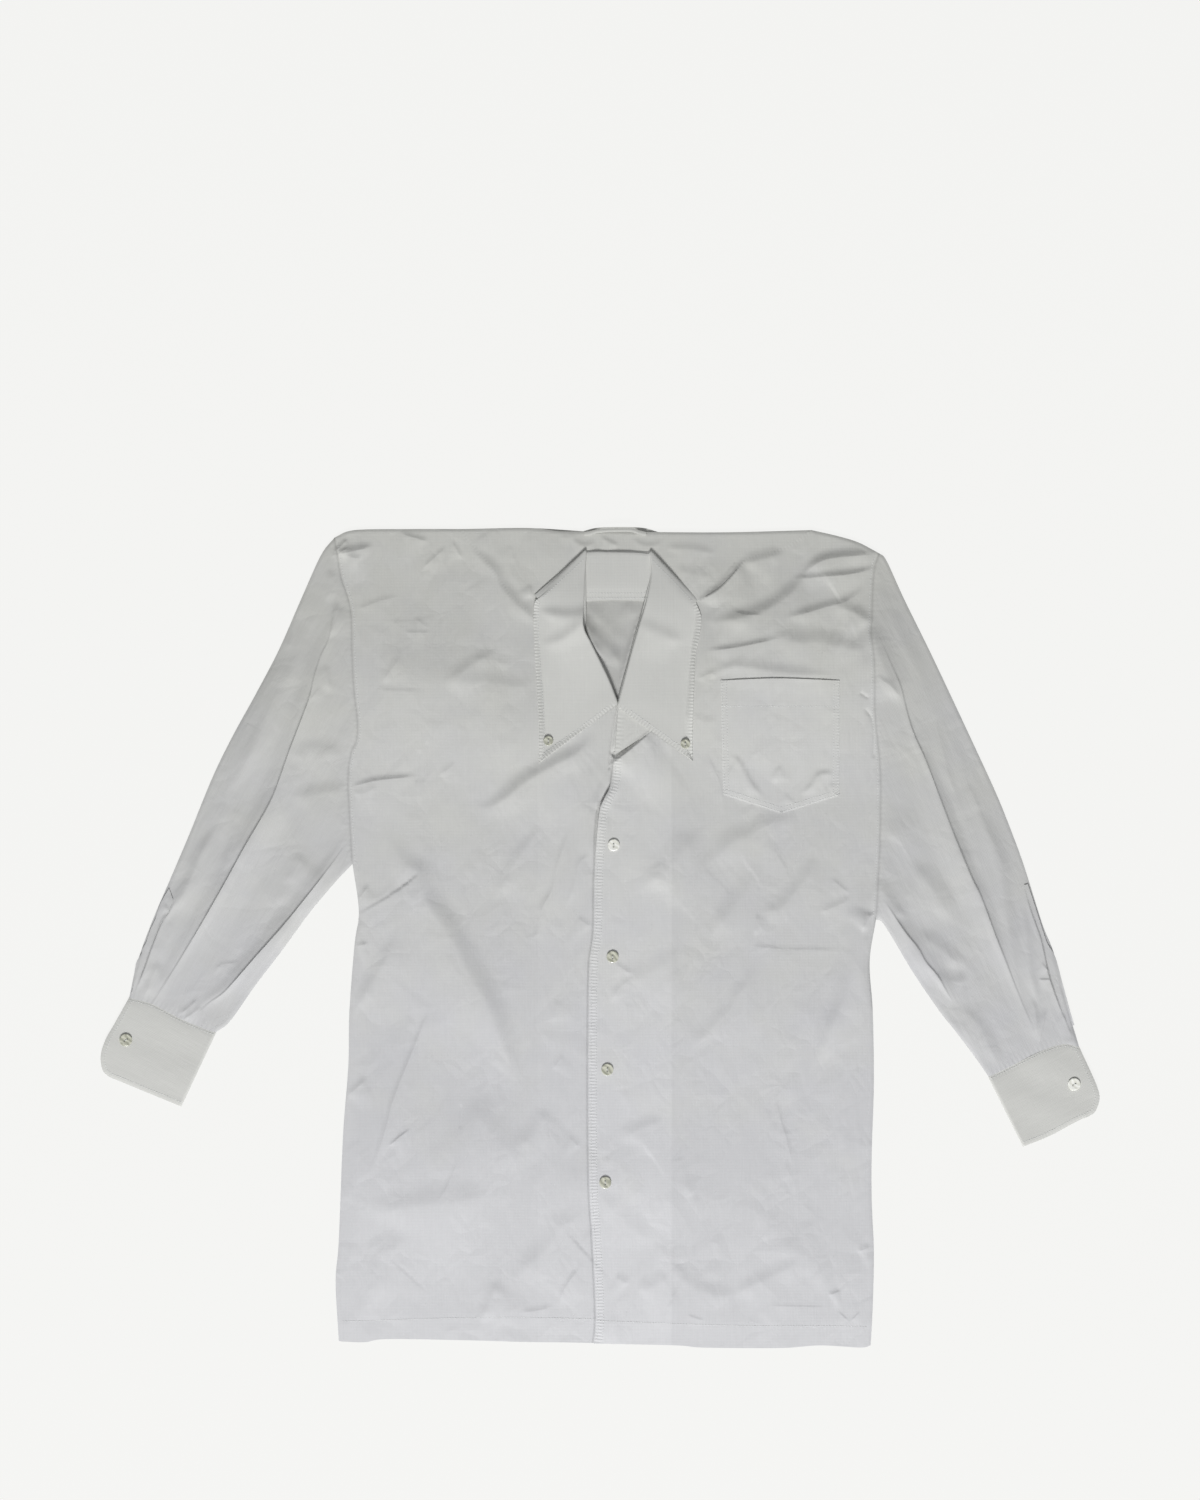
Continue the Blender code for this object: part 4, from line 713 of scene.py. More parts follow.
def creased(places):
    """How far the top layer stands above where it would lie flat."""
    height = crease_height(places, ALL_CREASES) + groove_height(places)
    swell_height = np.zeros(len(places))
    for swell in SWELLS:
        away = np.hypot((places[:, 0] - swell.x) / swell.reach_x, (places[:, 1] - swell.y) / swell.reach_y)
        swell_height += swell.height * smoothstep(1 - away)
    outer = nearest_of(places, OUTER_EDGES)
    height += (swell_height + broad_height(places)) * smoothstep(outer / 22)
    height *= 0.35 + 0.65 * smoothstep(outer / 8)
    collar = np.array(COLLAR_AREA + COLLAR_AREA[:1], float)
    away = distance_to(places, collar)[0]
    within = inside(places, np.array(COLLAR_AREA, float))
    return height * np.where(within, 1 - smoothstep(away / 9), 1.0)


def top_layer(places):
    """The upper face of the cloth that lies on the back. It turns down at its outer edges and seams."""
    height = TOP_FACE + creased(places)
    outer = nearest_of(places, OUTER_EDGES)
    height -= (height - 1.9) * (1 - smoothstep((outer + 0.4) / 2.6))
    seam = nearest_of(places, ARMHOLES)
    return np.maximum(height - 0.5 * (1 - smoothstep(seam / 2.0)), 1.1)


def free_edge_x(y):
    """Where the right front's free edge runs, at each y."""
    path = smooth_path(FREE_EDGE, 60)
    order = path[:, 1].argsort()
    return np.interp(y, path[order, 1], path[order, 0])


def hem_step(places, fold):
    """The turned-up hem is two layers thick."""
    return 0.05 * smoothstep((np.interp(places[:, 0], *np.array(fold).T) - places[:, 1]) / 1.5)


def gaping(y):
    """How far the free edge stands open above the first button, from 0 to 1."""
    return smoothstep((y - 72) / 40) * smoothstep((152 - y) / 22)


def left_front_top(places):
    """The left front sinks a little where the free edge of the right one presses on it."""
    open_part = gaping(places[:, 1])
    beside = places[:, 0] - free_edge_x(places[:, 1]) + 0.9 + 0.5 * open_part
    pressed = (0.8 + 0.9 * open_part) * np.exp(-(beside / (0.7 + 1.1 * open_part)) ** 2)
    height = top_layer(places) + hem_step(places, HEM_FOLD_LEFT) - pressed * (places[:, 1] < 170)
    return np.maximum(height, 1.1)


def right_front_top(places):
    """The right front climbs on to the left one at the closure, and its edge lifts a little at the top."""
    past_edge = places[:, 0] - free_edge_x(places[:, 1])
    step = CLOSURE_STEP * (1 - smoothstep((past_edge - CLOSURE) / 24))
    lift = (0.35 + 2.5 * gaping(places[:, 1])) * (1 - smoothstep(past_edge / 13))
    edge = lift - 0.55 * (1 - smoothstep(past_edge / 1.5))
    return top_layer(places) + step + edge + hem_step(places, HEM_FOLD_RIGHT)


def back_top(places):
    """The back, seen in the opening of the collar, rises to the seam of the stand."""
    near_neck = smoothstep((places[:, 1] - 280) / 36) * smoothstep((326 - places[:, 1]) / 4)
    beside = smoothstep((places[:, 0] + 50) / 30) * smoothstep((80 - places[:, 0]) / 30)
    within = inside(places, np.array(COLLAR_AREA, float))
    return BACK_TOP + (0.4 + 2.2 * near_neck) * beside * within + crease_height(places, NECK_CREASES) * within


# Meshes


def in_scene(name, data):
    """A new object in the scene, with its mesh, light or camera."""
    made = bpy.data.objects.new(name, data)
    bpy.context.scene.collection.objects.link(made)
    return made


def object_of(name, vertices, faces, edges=()):
    """An object from places in millimetres."""
    mesh = bpy.data.meshes.new(name)
    mesh.from_pydata((np.asarray(vertices, float) * MM).tolist(), list(edges), faces)
    mesh.update()
    mesh.shade_smooth()
    return in_scene(name, mesh)


def places_of(made):
    """The points of an object's mesh, in millimetres."""
    flat = np.empty(3 * len(made.data.vertices))
    made.data.vertices.foreach_get("co", flat)
    return flat.reshape(-1, 3) / MM


def finished_mesh(made):
    """A plain mesh of an object, with its modifiers taken in."""
    bpy.context.view_layer.update()
    return bpy.data.meshes.new_from_object(made.evaluated_get(bpy.context.evaluated_depsgraph_get()))


def reshaped(mesh, change):
    """Changes a mesh by a function that takes its editable form."""
    shape = bmesh.new()
    shape.from_mesh(mesh)
    change(shape)
    shape.to_mesh(mesh)
    shape.free()


def mesh_from(shape, name):
    """A mesh from an editable form, which ends with this."""
    mesh = bpy.data.meshes.new(name)
    shape.to_mesh(mesh)
    shape.free()
    return mesh


def grid_faces(rows, columns, flip=False):
    """The faces of a grid that is stored row by row, seen from above with rows going up the page."""
    faces = [(r * columns + c, r * columns + c + 1, (r + 1) * columns + c + 1, (r + 1) * columns + c)
             for r in range(rows - 1) for c in range(columns - 1)]
    return [face[::-1] for face in faces] if flip else faces


def given_wall(made, wall, offset):
    """A wall for an open sheet of cloth: below it for -1 and on both sides of it for 0."""
    solidify = made.modifiers.new("wall", "SOLIDIFY")
    solidify.thickness = wall * MM
    solidify.offset = offset
    sheet = made.data
    made.data = finished_mesh(made)
    made.data.name = made.name
    made.modifiers.clear()
    bpy.data.meshes.remove(sheet)
    crisp_edges(made)
    return made


def crisp_edges(made):
    """The cut or folded edges of the cloth are crisp, and the rest is smooth."""
    made.data.shade_smooth()
    made.data.set_sharp_from_angle(angle=math.radians(60))


def fold_rows(low, high):
    """Rows of places beside the narrow folds inside two limits of x, so that they keep their crisp shape."""
    rows = []
    for groove in GROOVES:
        if groove.half_width < 3:
            path = stepped(groove.path, ROW_SPACING)
            rows += [moved_aside(path, aside * groove.half_width) for aside in (0, -0.5, 0.5, -1.2, 1.2)]
    for crease in LEFT_FRONT_CREASES + RIGHT_FRONT_CREASES + SLEEVE_CREASES:
        if crease.steep <= CRISP_UP_TO:
            path = stepped(crease.path, ROW_SPACING)
            foot = (1.4, 2.2) if crease.steep < 2.5 else ()
            rows += [moved_aside(path, -0.5 * crease.steep + aside) for aside in (0, -0.6, 0.7) + foot]
    return [row for row in rows if row[:, 0].max() > low and row[:, 0].min() < high]


def edge_rows(places):
    """Rows along the free edge of the right front, at some places to its right."""
    edge = stepped(FREE_EDGE, ROW_SPACING)
    return [edge + (x, 0) for x in places]


def cut_sheet(name, outline, spacing, height_of, rows=()):
    """A piece of cloth inside an outline, with the height that a function gives each place of its upper
    face. Its lower face is coarser and keeps under the upper one."""
    places, triangles = filled(outline, spacing, rows)
    heights = height_of(places)
    under, under_triangles = filled(outline, UNDER_SPACING)
    tree = tree_of(places)
    lowest = [min(heights[i] for _, i, _ in tree.find_range((x, y, 0), UNDER_SPACING)) for x, y in under]
    ring, count = len(outline), len(places)
    lowest[:ring] = heights[:ring]
    rim = [(i, count + i, count + (i + 1) % ring, (i + 1) % ring) for i in range(ring)]
    faces = triangles + [tuple(count + i for i in face[::-1]) for face in under_triangles] + rim
    lower = np.column_stack([under, np.array(lowest) - CLOTH])
    made = object_of(name, np.vstack([np.column_stack([places, heights]), lower]), faces)
    outwards(made)
    crisp_edges(made)
    return made


def outwards(made):
    """Turns the faces of a closed piece outwards."""
    reshaped(made.data, lambda shape: bmesh.ops.recalc_face_normals(shape, faces=shape.faces))


def woven_sheet(name, grid, wall, offset, flip=False):
    """A piece of cloth through a grid of points."""
    rows, columns = grid.shape[:2]
    return given_wall(object_of(name, grid.reshape(-1, 3), grid_faces(rows, columns, flip)), wall, offset)


def surface_of(*names):
    """The upper faces of finished pieces, to lay other pieces on."""
    graph = bpy.context.evaluated_depsgraph_get()
    return [BVHTree.FromObject(bpy.data.objects[name], graph) for name in names]


def height_below(trees, x, y):
    """The highest point of some pieces at one place."""
    found = None
    for tree in trees:
        hit = tree.ray_cast(Vector((x * MM, y * MM, 0.2)), Vector((0, 0, -1)))[0]
        if hit is not None:
            found = hit.z / MM if found is None else max(found, hit.z / MM)
    return found


# Materials


def linear(code):
    """A linear colour from an sRGB hex value."""
    parts = [int(code[i:i + 2], 16) / 255 for i in (1, 3, 5)]
    return tuple(p / 12.92 if p <= 0.04045 else ((p + 0.055) / 1.055) ** 2.4 for p in parts) + (1.0,)


def fill_in(tree, made, values):
    """Gives inputs of a node their values. Each is a number, or another node's output."""
    for key, value in values.items():
        if isinstance(value, bpy.types.NodeSocket):
            tree.links.new(value, made.inputs[key])
        else:
            made.inputs[key].default_value = value


def node(tree, kind, values=None, **settings):
    """A node with its settings and its inputs."""
    made = tree.nodes.new(kind)
    for key, value in settings.items():
        setattr(made, key, value)
    fill_in(tree, made, values or {})
    return made


def new_material(name):
    """A new material, its node tree and its shader."""
    material = bpy.data.materials.new(name)
    material.use_nodes = True
    return material, material.node_tree, material.node_tree.nodes["Principled BSDF"]


def cotton_poplin(name, colour, aged_colour, grain=0.0, crisp=1.0, shade=0.0, strips=()):
    """Cotton poplin, a tight plain weave from fine yarn, washed and not ironed.

    It gives the eye a matt white with faint darker and lighter yarns along the grain, and a very soft
    sheen. The grain is turned by some degrees. Stiff cloth is less crisp than 1, which takes its small
    creases down. Shade makes the whole piece lighter. Each strip is doubled cloth, which looks lighter:
    the axis across it, a place inside it, the place where it ends and how much lighter it is.
    """
    material, tree, shader = new_material(name)
    place = node(tree, "ShaderNodeTexCoord").outputs["Object"]
    turned = node(tree, "ShaderNodeMapping", {
        "Vector": place, "Rotation": (0, 0, math.radians(grain))}).outputs[0]
    # the real yarn is 0.25 mm thick; a slub is drawn 1.4 mm wide and 30 mm long, so that it shows
    noises = []
    for scale, detail, roughness, distortion in (
            ((700, 33, 60), 3.0, 0.6, 0.0), ((40, 640, 60), 2.0, 0.6, 0.0), ((62, 20, 60), 4.0, 0.55, 0.3)):
        drawn = node(tree, "ShaderNodeMapping", {"Vector": turned, "Scale": scale}).outputs[0]
        noises.append(node(tree, "ShaderNodeTexNoise", {
            "Vector": drawn, "Scale": 1.0, "Detail": detail, "Roughness": roughness,
            "Distortion": distortion}).outputs["Fac"])
    warp_slub, weft_slub, height = noises
    clouds = node(tree, "ShaderNodeTexNoise", {"Vector": place, "Scale": 16.0, "Detail": 3.0,
                                               "Roughness": 0.55}).outputs["Fac"]
    near_seam, painted_seam_shade, stitches = [
        node(tree, "ShaderNodeAttribute", attribute_name=mark).outputs["Fac"] for mark in SEAM_MARKS]

    tone = PLAIN_TONE + shade
    # painted shade: the colour is darker by up to 0.18 along the seams' ditches and the gap beside the free
    # edge
    for mark, share in ((warp_slub, 0.075), (weft_slub, 0.035), (clouds, 0.07), (near_seam, 0.035),
                        (painted_seam_shade, -0.18)):
        tone = node(tree, "ShaderNodeMath", {0: mark, 1: share, 2: tone}, operation="MULTIPLY_ADD").outputs[0]
    axes = node(tree, "ShaderNodeSeparateXYZ", {"Vector": place}).outputs
    for axis, within, end, lighter in strips:
        edge = STRIP_EDGE if end > within else -STRIP_EDGE
        strip = node(tree, "ShaderNodeMapRange", {"Value": axes[axis], "From Min": (end + edge) * MM,
                                                  "From Max": (end - edge) * MM, "To Max": lighter})
        tone = node(tree, "ShaderNodeMath", {0: tone, 1: strip.outputs[0]}, operation="ADD").outputs[0]
    # years of washing have left the cloth a little yellow towards the collar
    aged = node(tree, "ShaderNodeMath", {0: axes["Y"], 1: 1.6, 2: clouds}, operation="MULTIPLY_ADD")
    yellowed = node(tree, "ShaderNodeMapRange", {"Value": aged.outputs[0], "From Min": 0.2, "From Max": 1.1})
    tint = node(tree, "ShaderNodeMix", {"Factor": yellowed.outputs[0], "A": linear(colour),
                                        "B": linear(aged_colour)}, data_type="RGBA")
    dyed = node(tree, "ShaderNodeVectorMath", {0: tint.outputs["Result"], "Scale": tone}, operation="SCALE")

    # being packed has pressed flat facets with crisp edges into the cloth, 40 mm and 17 mm across
    wavy = node(tree, "ShaderNodeTexNoise", {"Vector": place, "Scale": 22.0, "Detail": 2.0})
    bent = node(tree, "ShaderNodeVectorMath", {0: wavy.outputs["Color"], 1: (0.03, 0.03, 0.0), 2: turned},
                operation="MULTIPLY_ADD")
    for scale, share in (((27, 21, 4), 1.9), ((66, 48, 4), 0.75)):
        cells = node(tree, "ShaderNodeMapping", {"Vector": bent.outputs[0], "Scale": scale})
        facets = node(tree, "ShaderNodeTexVoronoi", {"Vector": cells.outputs[0], "Scale": 1.0},
                      feature="DISTANCE_TO_EDGE")
        patches = node(tree, "ShaderNodeTexNoise", {"Vector": cells.outputs[0], "Scale": 0.45, "Detail": 0.0})
        pressed = node(tree, "ShaderNodeMapRange", {"Value": patches.outputs["Fac"], "From Min": 0.42,
                                                    "From Max": 0.62, "To Max": share * crisp})
        height = node(tree, "ShaderNodeMath", {0: facets.outputs["Distance"], 1: pressed.outputs[0],
                                               2: height}, operation="MULTIPLY_ADD").outputs[0]
    # each stitch of a seam draws the cloth in, a little more or less than the next
    uneven = node(tree, "ShaderNodeTexNoise", {"Vector": place, "Scale": 90.0, "Detail": 1.0})
    turn = node(tree, "ShaderNodeMath", {0: stitches, 1: 2 * math.pi, 2: uneven.outputs["Fac"]},
                operation="MULTIPLY_ADD")
    wave = node(tree, "ShaderNodeMath", {0: turn.outputs[0]}, operation="SINE")
    drawn_in = node(tree, "ShaderNodeMath", {0: wave.outputs[0], 1: near_seam}, operation="MULTIPLY")
    # the weave's own ribs, 0.7 mm apart where the real ones are 0.3 mm
    ribs, picks = [node(tree, "ShaderNodeTexWave", {"Vector": turned, "Scale": 220.0, "Distortion": 1.2,
                                                    "Detail": 1.0}, bands_direction=axis).outputs["Fac"]
                   for axis in ("X", "Y")]
    raised = node(tree, "ShaderNodeMath", {0: ribs, 1: picks}, operation="MULTIPLY").outputs[0]
    for slub, share in ((warp_slub, 1.4), (weft_slub, 0.7)):
        raised = node(tree, "ShaderNodeMath", {0: slub, 1: share, 2: raised},
                      operation="MULTIPLY_ADD").outputs[0]
    soft = node(tree, "ShaderNodeBump", {"Height": height, "Strength": 1.0, "Distance": 0.0007 * crisp})
    puckered = node(tree, "ShaderNodeBump", {"Height": drawn_in.outputs[0], "Strength": 1.0,
                                             "Distance": 0.00007, "Normal": soft.outputs[0]})
    woven = node(tree, "ShaderNodeBump", {"Height": raised, "Strength": 0.6, "Distance": 0.00008,
                                          "Normal": puckered.outputs[0]})
    fill_in(tree, shader, {"Base Color": dyed.outputs[0], "Normal": woven.outputs[0], "Roughness": 0.86,
                           "Specular IOR Level": 0.3, "Sheen Weight": 0.12, "Sheen Roughness": 0.45})
    return material


def pearly_shell(name, colour, painted_glint):
    """Polished shell button, turned from the shell and tumbled. Its layers show in two tones, the lighter one
    a painted glint.
    """
    material, tree, shader = new_material(name)
    place = node(tree, "ShaderNodeTexCoord").outputs["Object"]
    # the shell's layers show as bands about 2 mm wide, with painted glints in the lighter ones
    bands = node(tree, "ShaderNodeTexWave", {"Vector": place, "Scale": 90.0, "Distortion": 6.0, "Detail": 2.0,
                                             "Detail Scale": 1.5}, bands_direction="DIAGONAL")
    mixed = node(tree, "ShaderNodeMix", {"Factor": bands.outputs["Fac"], "A": linear(colour),
                                         "B": linear(painted_glint)}, data_type="RGBA")
    fill_in(tree, shader, {"Base Color": mixed.outputs["Result"], "Roughness": 0.22, "IOR": 1.53,
                           "Coat Weight": 0.35, "Coat Roughness": 0.08})
    return material


def sewing_thread(name, colour):
    """Spun polyester sewing thread: matt and slightly lighter than the cloth."""
    material, tree, shader = new_material(name)
    place = node(tree, "ShaderNodeTexCoord").outputs["Object"]
    # the twist of two plies, 0.5 mm apart
    twist = node(tree, "ShaderNodeTexWave", {"Vector": place, "Scale": 300.0, "Distortion": 0.5},
                 bands_direction="DIAGONAL")
    bump = node(tree, "ShaderNodeBump", {"Height": twist.outputs["Fac"], "Strength": 0.5,
                                         "Distance": 0.00005})
    fill_in(tree, shader, {"Normal": bump.outputs[0], "Base Color": linear(colour), "Roughness": 0.7})
    return material


def gathered_by(made, seams, reach=6.5, painted_shade_lines=()):
    """Marks the cloth beside its seams, where each stitch draws it in: how near the seam is, from 0 to 1,
    and how many stitches along it. Each seam is a path, the length of its stitches and how much it gathers.
    Along the painted shade lines, such as the seams' ditches, the colour is painted darker for the shade that
    falls in them."""
    places = places_of(made)[:, :2]
    closeness, grey, stitches = np.zeros((3, len(places)))
    for points in painted_shade_lines:
        # painted shade: how much darker the colour is painted beside each line
        near, off, _ = near_path(places, points, DITCH)
        grey[near] = 1 - smoothstep(np.abs(off) / DITCH)
    for points, pitch, strength in seams:
        path = np.array(points, float)
        near, off, along = near_path(places, path, reach)
        close = strength * (1 - smoothstep(np.abs(off) / reach))
        better = close > closeness[near]
        closeness[near[better]] = close[better]
        stitches[near[better]] = along[better] * np.linalg.norm(np.diff(path, axis=0), axis=1).sum() / pitch
    for name, values in zip(SEAM_MARKS, (closeness, grey, stitches)):
        made.data.attributes.new(name, "FLOAT", "POINT").data.foreach_set("value", values.astype(np.float32))


def dress(made, material, slot, *nodes):
    """Gives a piece its finish, and lets it stand for the solids it was drawn on."""
    made.data.materials.clear()
    made.data.materials.append(material)
    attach(made, "root")
    if nodes:
        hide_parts(*nodes)


# How the cloth of the pieces differs. The shade of the sleeves and cuffs lets them look a little darker.
SOFT_CLOTH = {
    "poplin_back": {},
    # painted shade: a darker copy of the cloth for the back's upper face in the opening of the collar, where
    # the leaves shade it
    "worn_poplin": {"shade": -0.17},
    "poplin_pocket": {"shade": 0.03},
    "poplin_left_front": {"strips": (("X", 40, -59, 0.02), ("Y", -400, -362, 0.03))},
    "poplin_right_front": {"strips": (("X", -20, 68, 0.06), ("Y", -400, -366, 0.04))},
    "poplin_left_sleeve": {"grain": 28, "shade": -0.045},
    "poplin_right_sleeve": {"grain": -24, "shade": -0.045},
}
STIFF_CLOTH = {
    "poplin_collar": {},
    "poplin_left_cuff": {"grain": -62, "shade": -0.045},
    "poplin_right_cuff": {"grain": 64, "shade": -0.045},
}


def cloth_finish(kind):
    """One of the shirt's finishes by its name, made when it is first asked for."""
    if kind in bpy.data.materials:
        return bpy.data.materials[kind]
    colours = bpy.context.scene.shirt_colours
    if kind in SOFT_CLOTH:
        return cotton_poplin(kind, colours.poplin, colours.aged_poplin, **SOFT_CLOTH[kind])
    if kind in STIFF_CLOTH:
        return cotton_poplin(kind, colours.collar_and_cuffs, colours.collar_and_cuffs, crisp=0.5,
                             **STIFF_CLOTH[kind])
    # the second colour of each shell is its painted glint
    if kind == "grey_shell_button":
        return pearly_shell(kind, colours.shell, "#D6D6C6")
    if kind == "bright_shell_button":
        return pearly_shell(kind, "#E6E6DC", "#FFFFFA")
    return sewing_thread(kind, colours.thread)


# Sizes and colours that a user would change


class ShirtSizes(bpy.types.PropertyGroup):
    stitch_pitch: bpy.props.FloatProperty(
        name="Stitch pitch", description="From the start of one stitch to the start of the next",
        default=2.6 * MM, min=1.5 * MM, max=5 * MM, subtype="DISTANCE", unit="LENGTH", precision=4)
    stitch_length: bpy.props.FloatProperty(
        name="Stitch length", description="How much of a stitch's pitch shows on the cloth",
        default=1.9 * MM, min=1 * MM, max=4 * MM, subtype="DISTANCE", unit="LENGTH", precision=4)
    thread_width: bpy.props.FloatProperty(
        name="Thread width", description="How thick the sewing thread is",
        default=0.6 * MM, min=0.2 * MM, max=1 * MM, subtype="DISTANCE", unit="LENGTH", precision=5)


class ShirtColours(bpy.types.PropertyGroup):
    poplin: bpy.props.StringProperty(
        name="Poplin", description="The body's cloth, as an sRGB hex value", default="#D0D0D2")
    aged_poplin: bpy.props.StringProperty(
        name="Aged cloth", description="The cloth near the collar, as an sRGB hex value", default="#D0D0CB")
    collar_and_cuffs: bpy.props.StringProperty(
        name="Collar and cuffs", description="The stiffened cloth, as an sRGB hex value", default="#D6D6D2")
    shell: bpy.props.StringProperty(
        name="Buttons", description="The shell's darker layers, as an sRGB hex value", default="#A9AA9A")
    thread: bpy.props.StringProperty(
        name="Thread", description="The sewing thread, as an sRGB hex value", default="#DCDDDC")


# The pieces


def in_opening(place, least_x):
    """Whether a place of the back shows in the opening of the collar."""
    return least_x < place[0] / MM < 60 and 205 < place[1] / MM < 345


def finer_opening(shape):
    """Gives the part of the back that the opening of the collar shows finer points."""
    for _ in range(2):
        shown = [edge for edge in shape.edges if all(in_opening(v.co, -26) for v in edge.verts)]
        bmesh.ops.subdivide_edges(shape, edges=shown, cuts=1, use_grid_fill=True)
        bmesh.ops.triangulate(shape, faces=[face for face in shape.faces if len(face.verts) > 4])


def build_back():
    """The back, flat on the floor. Its upper face shows in the opening of the collar, with painted shade."""
    outline = closed(
        stepped(HEM_LEFT[:-1], 8), stepped(((-55, -384),) + HEM_RIGHT[1:], 8), stepped(SIDE_RIGHT, 8),
        stepped(ARMHOLE_RIGHT, 8), stepped(TOP_RIGHT, 6)[::-1],
        stepped(((56, 385), (126, 385), (201, 387)), 8)[::-1], stepped(BACK_BULGE, 4)[::-1],
        stepped(((-130, 388), (-68, 389), (-16, 386)), 8)[::-1], stepped(TOP_LEFT, 8)[::-1],
        stepped(ARMHOLE_LEFT, 8)[::-1], stepped(SIDE_LEFT, 8)[::-1])
    places, triangles = filled(outline, BACK_SPACING)
    made = object_of("back_cloth", np.column_stack([places, back_top(places)]), triangles)
    reshaped(made.data, finer_opening)
    points = places_of(made)
    points[:, 2] = back_top(points[:, :2])
    made.data.vertices.foreach_set("co", (points * MM).reshape(-1))
    made.data.update()
    given_wall(made, CLOTH, -1)
    dress(made, cloth_finish("poplin_back"), "poplin", "back")
    # painted shade: the upward faces of the back in the opening of the collar take the darker copy of the
    # cloth
    made.data.materials.append(cloth_finish("worn_poplin"))
    for face in made.data.polygons:
        if face.normal.z > 0 and in_opening(face.center, -30):
            face.material_index = 1


def build_yoke():
    """The yoke, in front of the top fold and behind the collar."""
    outline = closed(stepped(TOP_MIDDLE, FRONT_SPACING), stepped(SEAM_RIGHT, FRONT_SPACING)[::-1],
                     stepped(NECK_BACK, FRONT_SPACING)[::-1], stepped(SEAM_LEFT, FRONT_SPACING))
    made = cut_sheet("yoke_cloth", outline, FRONT_SPACING, top_layer)
    dress(made, cloth_finish("poplin_back"), "poplin", "yoke")


def build_front_left():
    """The front that lies under the other one at the closure."""
    hidden_edge = stepped([(x + CLOSURE, y) for x, y in FREE_EDGE[:-1]] + [NECK_LEFT[-1]], 5)
    outline = closed(stepped(HEM_LEFT, FRONT_SPACING), hidden_edge, stepped(NECK_LEFT, 4)[::-1],
                     stepped(SEAM_LEFT, FRONT_SPACING), stepped(TOP_LEFT, FRONT_SPACING)[::-1],
                     stepped(ARMHOLE_LEFT, FRONT_SPACING)[::-1], stepped(SIDE_LEFT, FRONT_SPACING)[::-1])
    made = cut_sheet("front_left_cloth", outline, FRONT_SPACING, left_front_top,
                     fold_rows(-260, 10) + edge_rows((-2.4, -1.6, -1.0, -0.4, 0.3)))
    dress(made, cloth_finish("poplin_left_front"), "poplin", "front_left")
    seams = ((ARMHOLE_LEFT, ARMHOLE_PITCH, 0.3), (HEM_FOLD_LEFT, SEAM_PITCH, 0.25),
             (SEAM_LEFT, SEAM_PITCH, 0.5))
    # painted shade: the colour is darker along the armhole and beside the right front's free edge, where the
    # gap shades the cloth
    gathered_by(made, seams, painted_shade_lines=(ARMHOLE_LEFT, moved_aside(stepped(FREE_EDGE, 4), 0.6)))


def build_front_right():
    """The front whose free edge shows, on top of the other one."""
    outline = closed(stepped(HEM_RIGHT, FRONT_SPACING), stepped(SIDE_RIGHT, FRONT_SPACING),
                     stepped(ARMHOLE_RIGHT, FRONT_SPACING), stepped(TOP_RIGHT, FRONT_SPACING)[::-1],
                     stepped(SEAM_RIGHT, FRONT_SPACING)[::-1], stepped(NECK_RIGHT, 4)[::-1],
                     stepped(FREE_EDGE, FRONT_SPACING)[::-1])
    made = cut_sheet("front_right_cloth", outline, FRONT_SPACING, right_front_top,
                     fold_rows(-10, 265) + edge_rows((0.5, 1.0, 1.7)))
    dress(made, cloth_finish("poplin_right_front"), "poplin", "front_right")
    closure = moved_aside(stepped(FREE_EDGE, 4), -4.0)
    # painted shade: the colour is darker along the armhole
    gathered_by(made, ((ARMHOLE_RIGHT, ARMHOLE_PITCH, 0.3), (HEM_FOLD_RIGHT, SEAM_PITCH, 0.25),
                       (SEAM_RIGHT, SEAM_PITCH, 0.5), (closure, SEAM_PITCH, 1.3)), painted_shade_lines=(ARMHOLE_RIGHT,))


def build_sleeve(side, armhole, outer, inner, cuff_seam):
    """A flattened tube: its top layer is creased, and its under layer is flat."""
    hole, top_edge, end, low_edge = [
        stepped(edge, SLEEVE_SPACING) for edge in (armhole, outer, cuff_seam, inner)]
    if side == "left":
        outline = closed(low_edge, end[::-1], top_edge[::-1], hole[::-1])
        limits = (-480, -230)
    else:
        outline = closed(hole, top_edge, end, low_edge[::-1])
        limits = (255, 480)
    places, triangles = filled(outline, SLEEVE_SPACING, fold_rows(*limits))
    under_places, under_triangles = filled(outline, 4 * SLEEVE_SPACING)
    top = np.column_stack([places, top_layer(places)])
    under = np.column_stack([under_places, np.full(len(under_places), 0.4)])
    # both layers share the points of the two folded edges
    shared = nearest_of(under_places, (outer, inner)) < 0.1
    index = [i if i < len(outline) and shared[i] else len(places) + i for i in range(len(under_places))]
    faces = triangles + [tuple(index[i] for i in face[::-1]) for face in under_triangles]
    made = object_of(f"sleeve_{side}_cloth", np.vstack([top, under]), faces)
    reshaped(made.data, lambda shape: bmesh.ops.delete(
        shape, geom=[v for v in shape.verts if not v.link_faces], context="VERTS"))
    given_wall(made, SLEEVE_CLOTH, -1)
    dress(made, cloth_finish(f"poplin_{side}_sleeve"), "poplin", "sleeve_" + side)
    # painted shade: the colour is darker along the armhole
    gathered_by(made, ((armhole, ARMHOLE_PITCH, 0.3), (cuff_seam, 4.4, 0.8)), reach=11, painted_shade_lines=(armhole,))


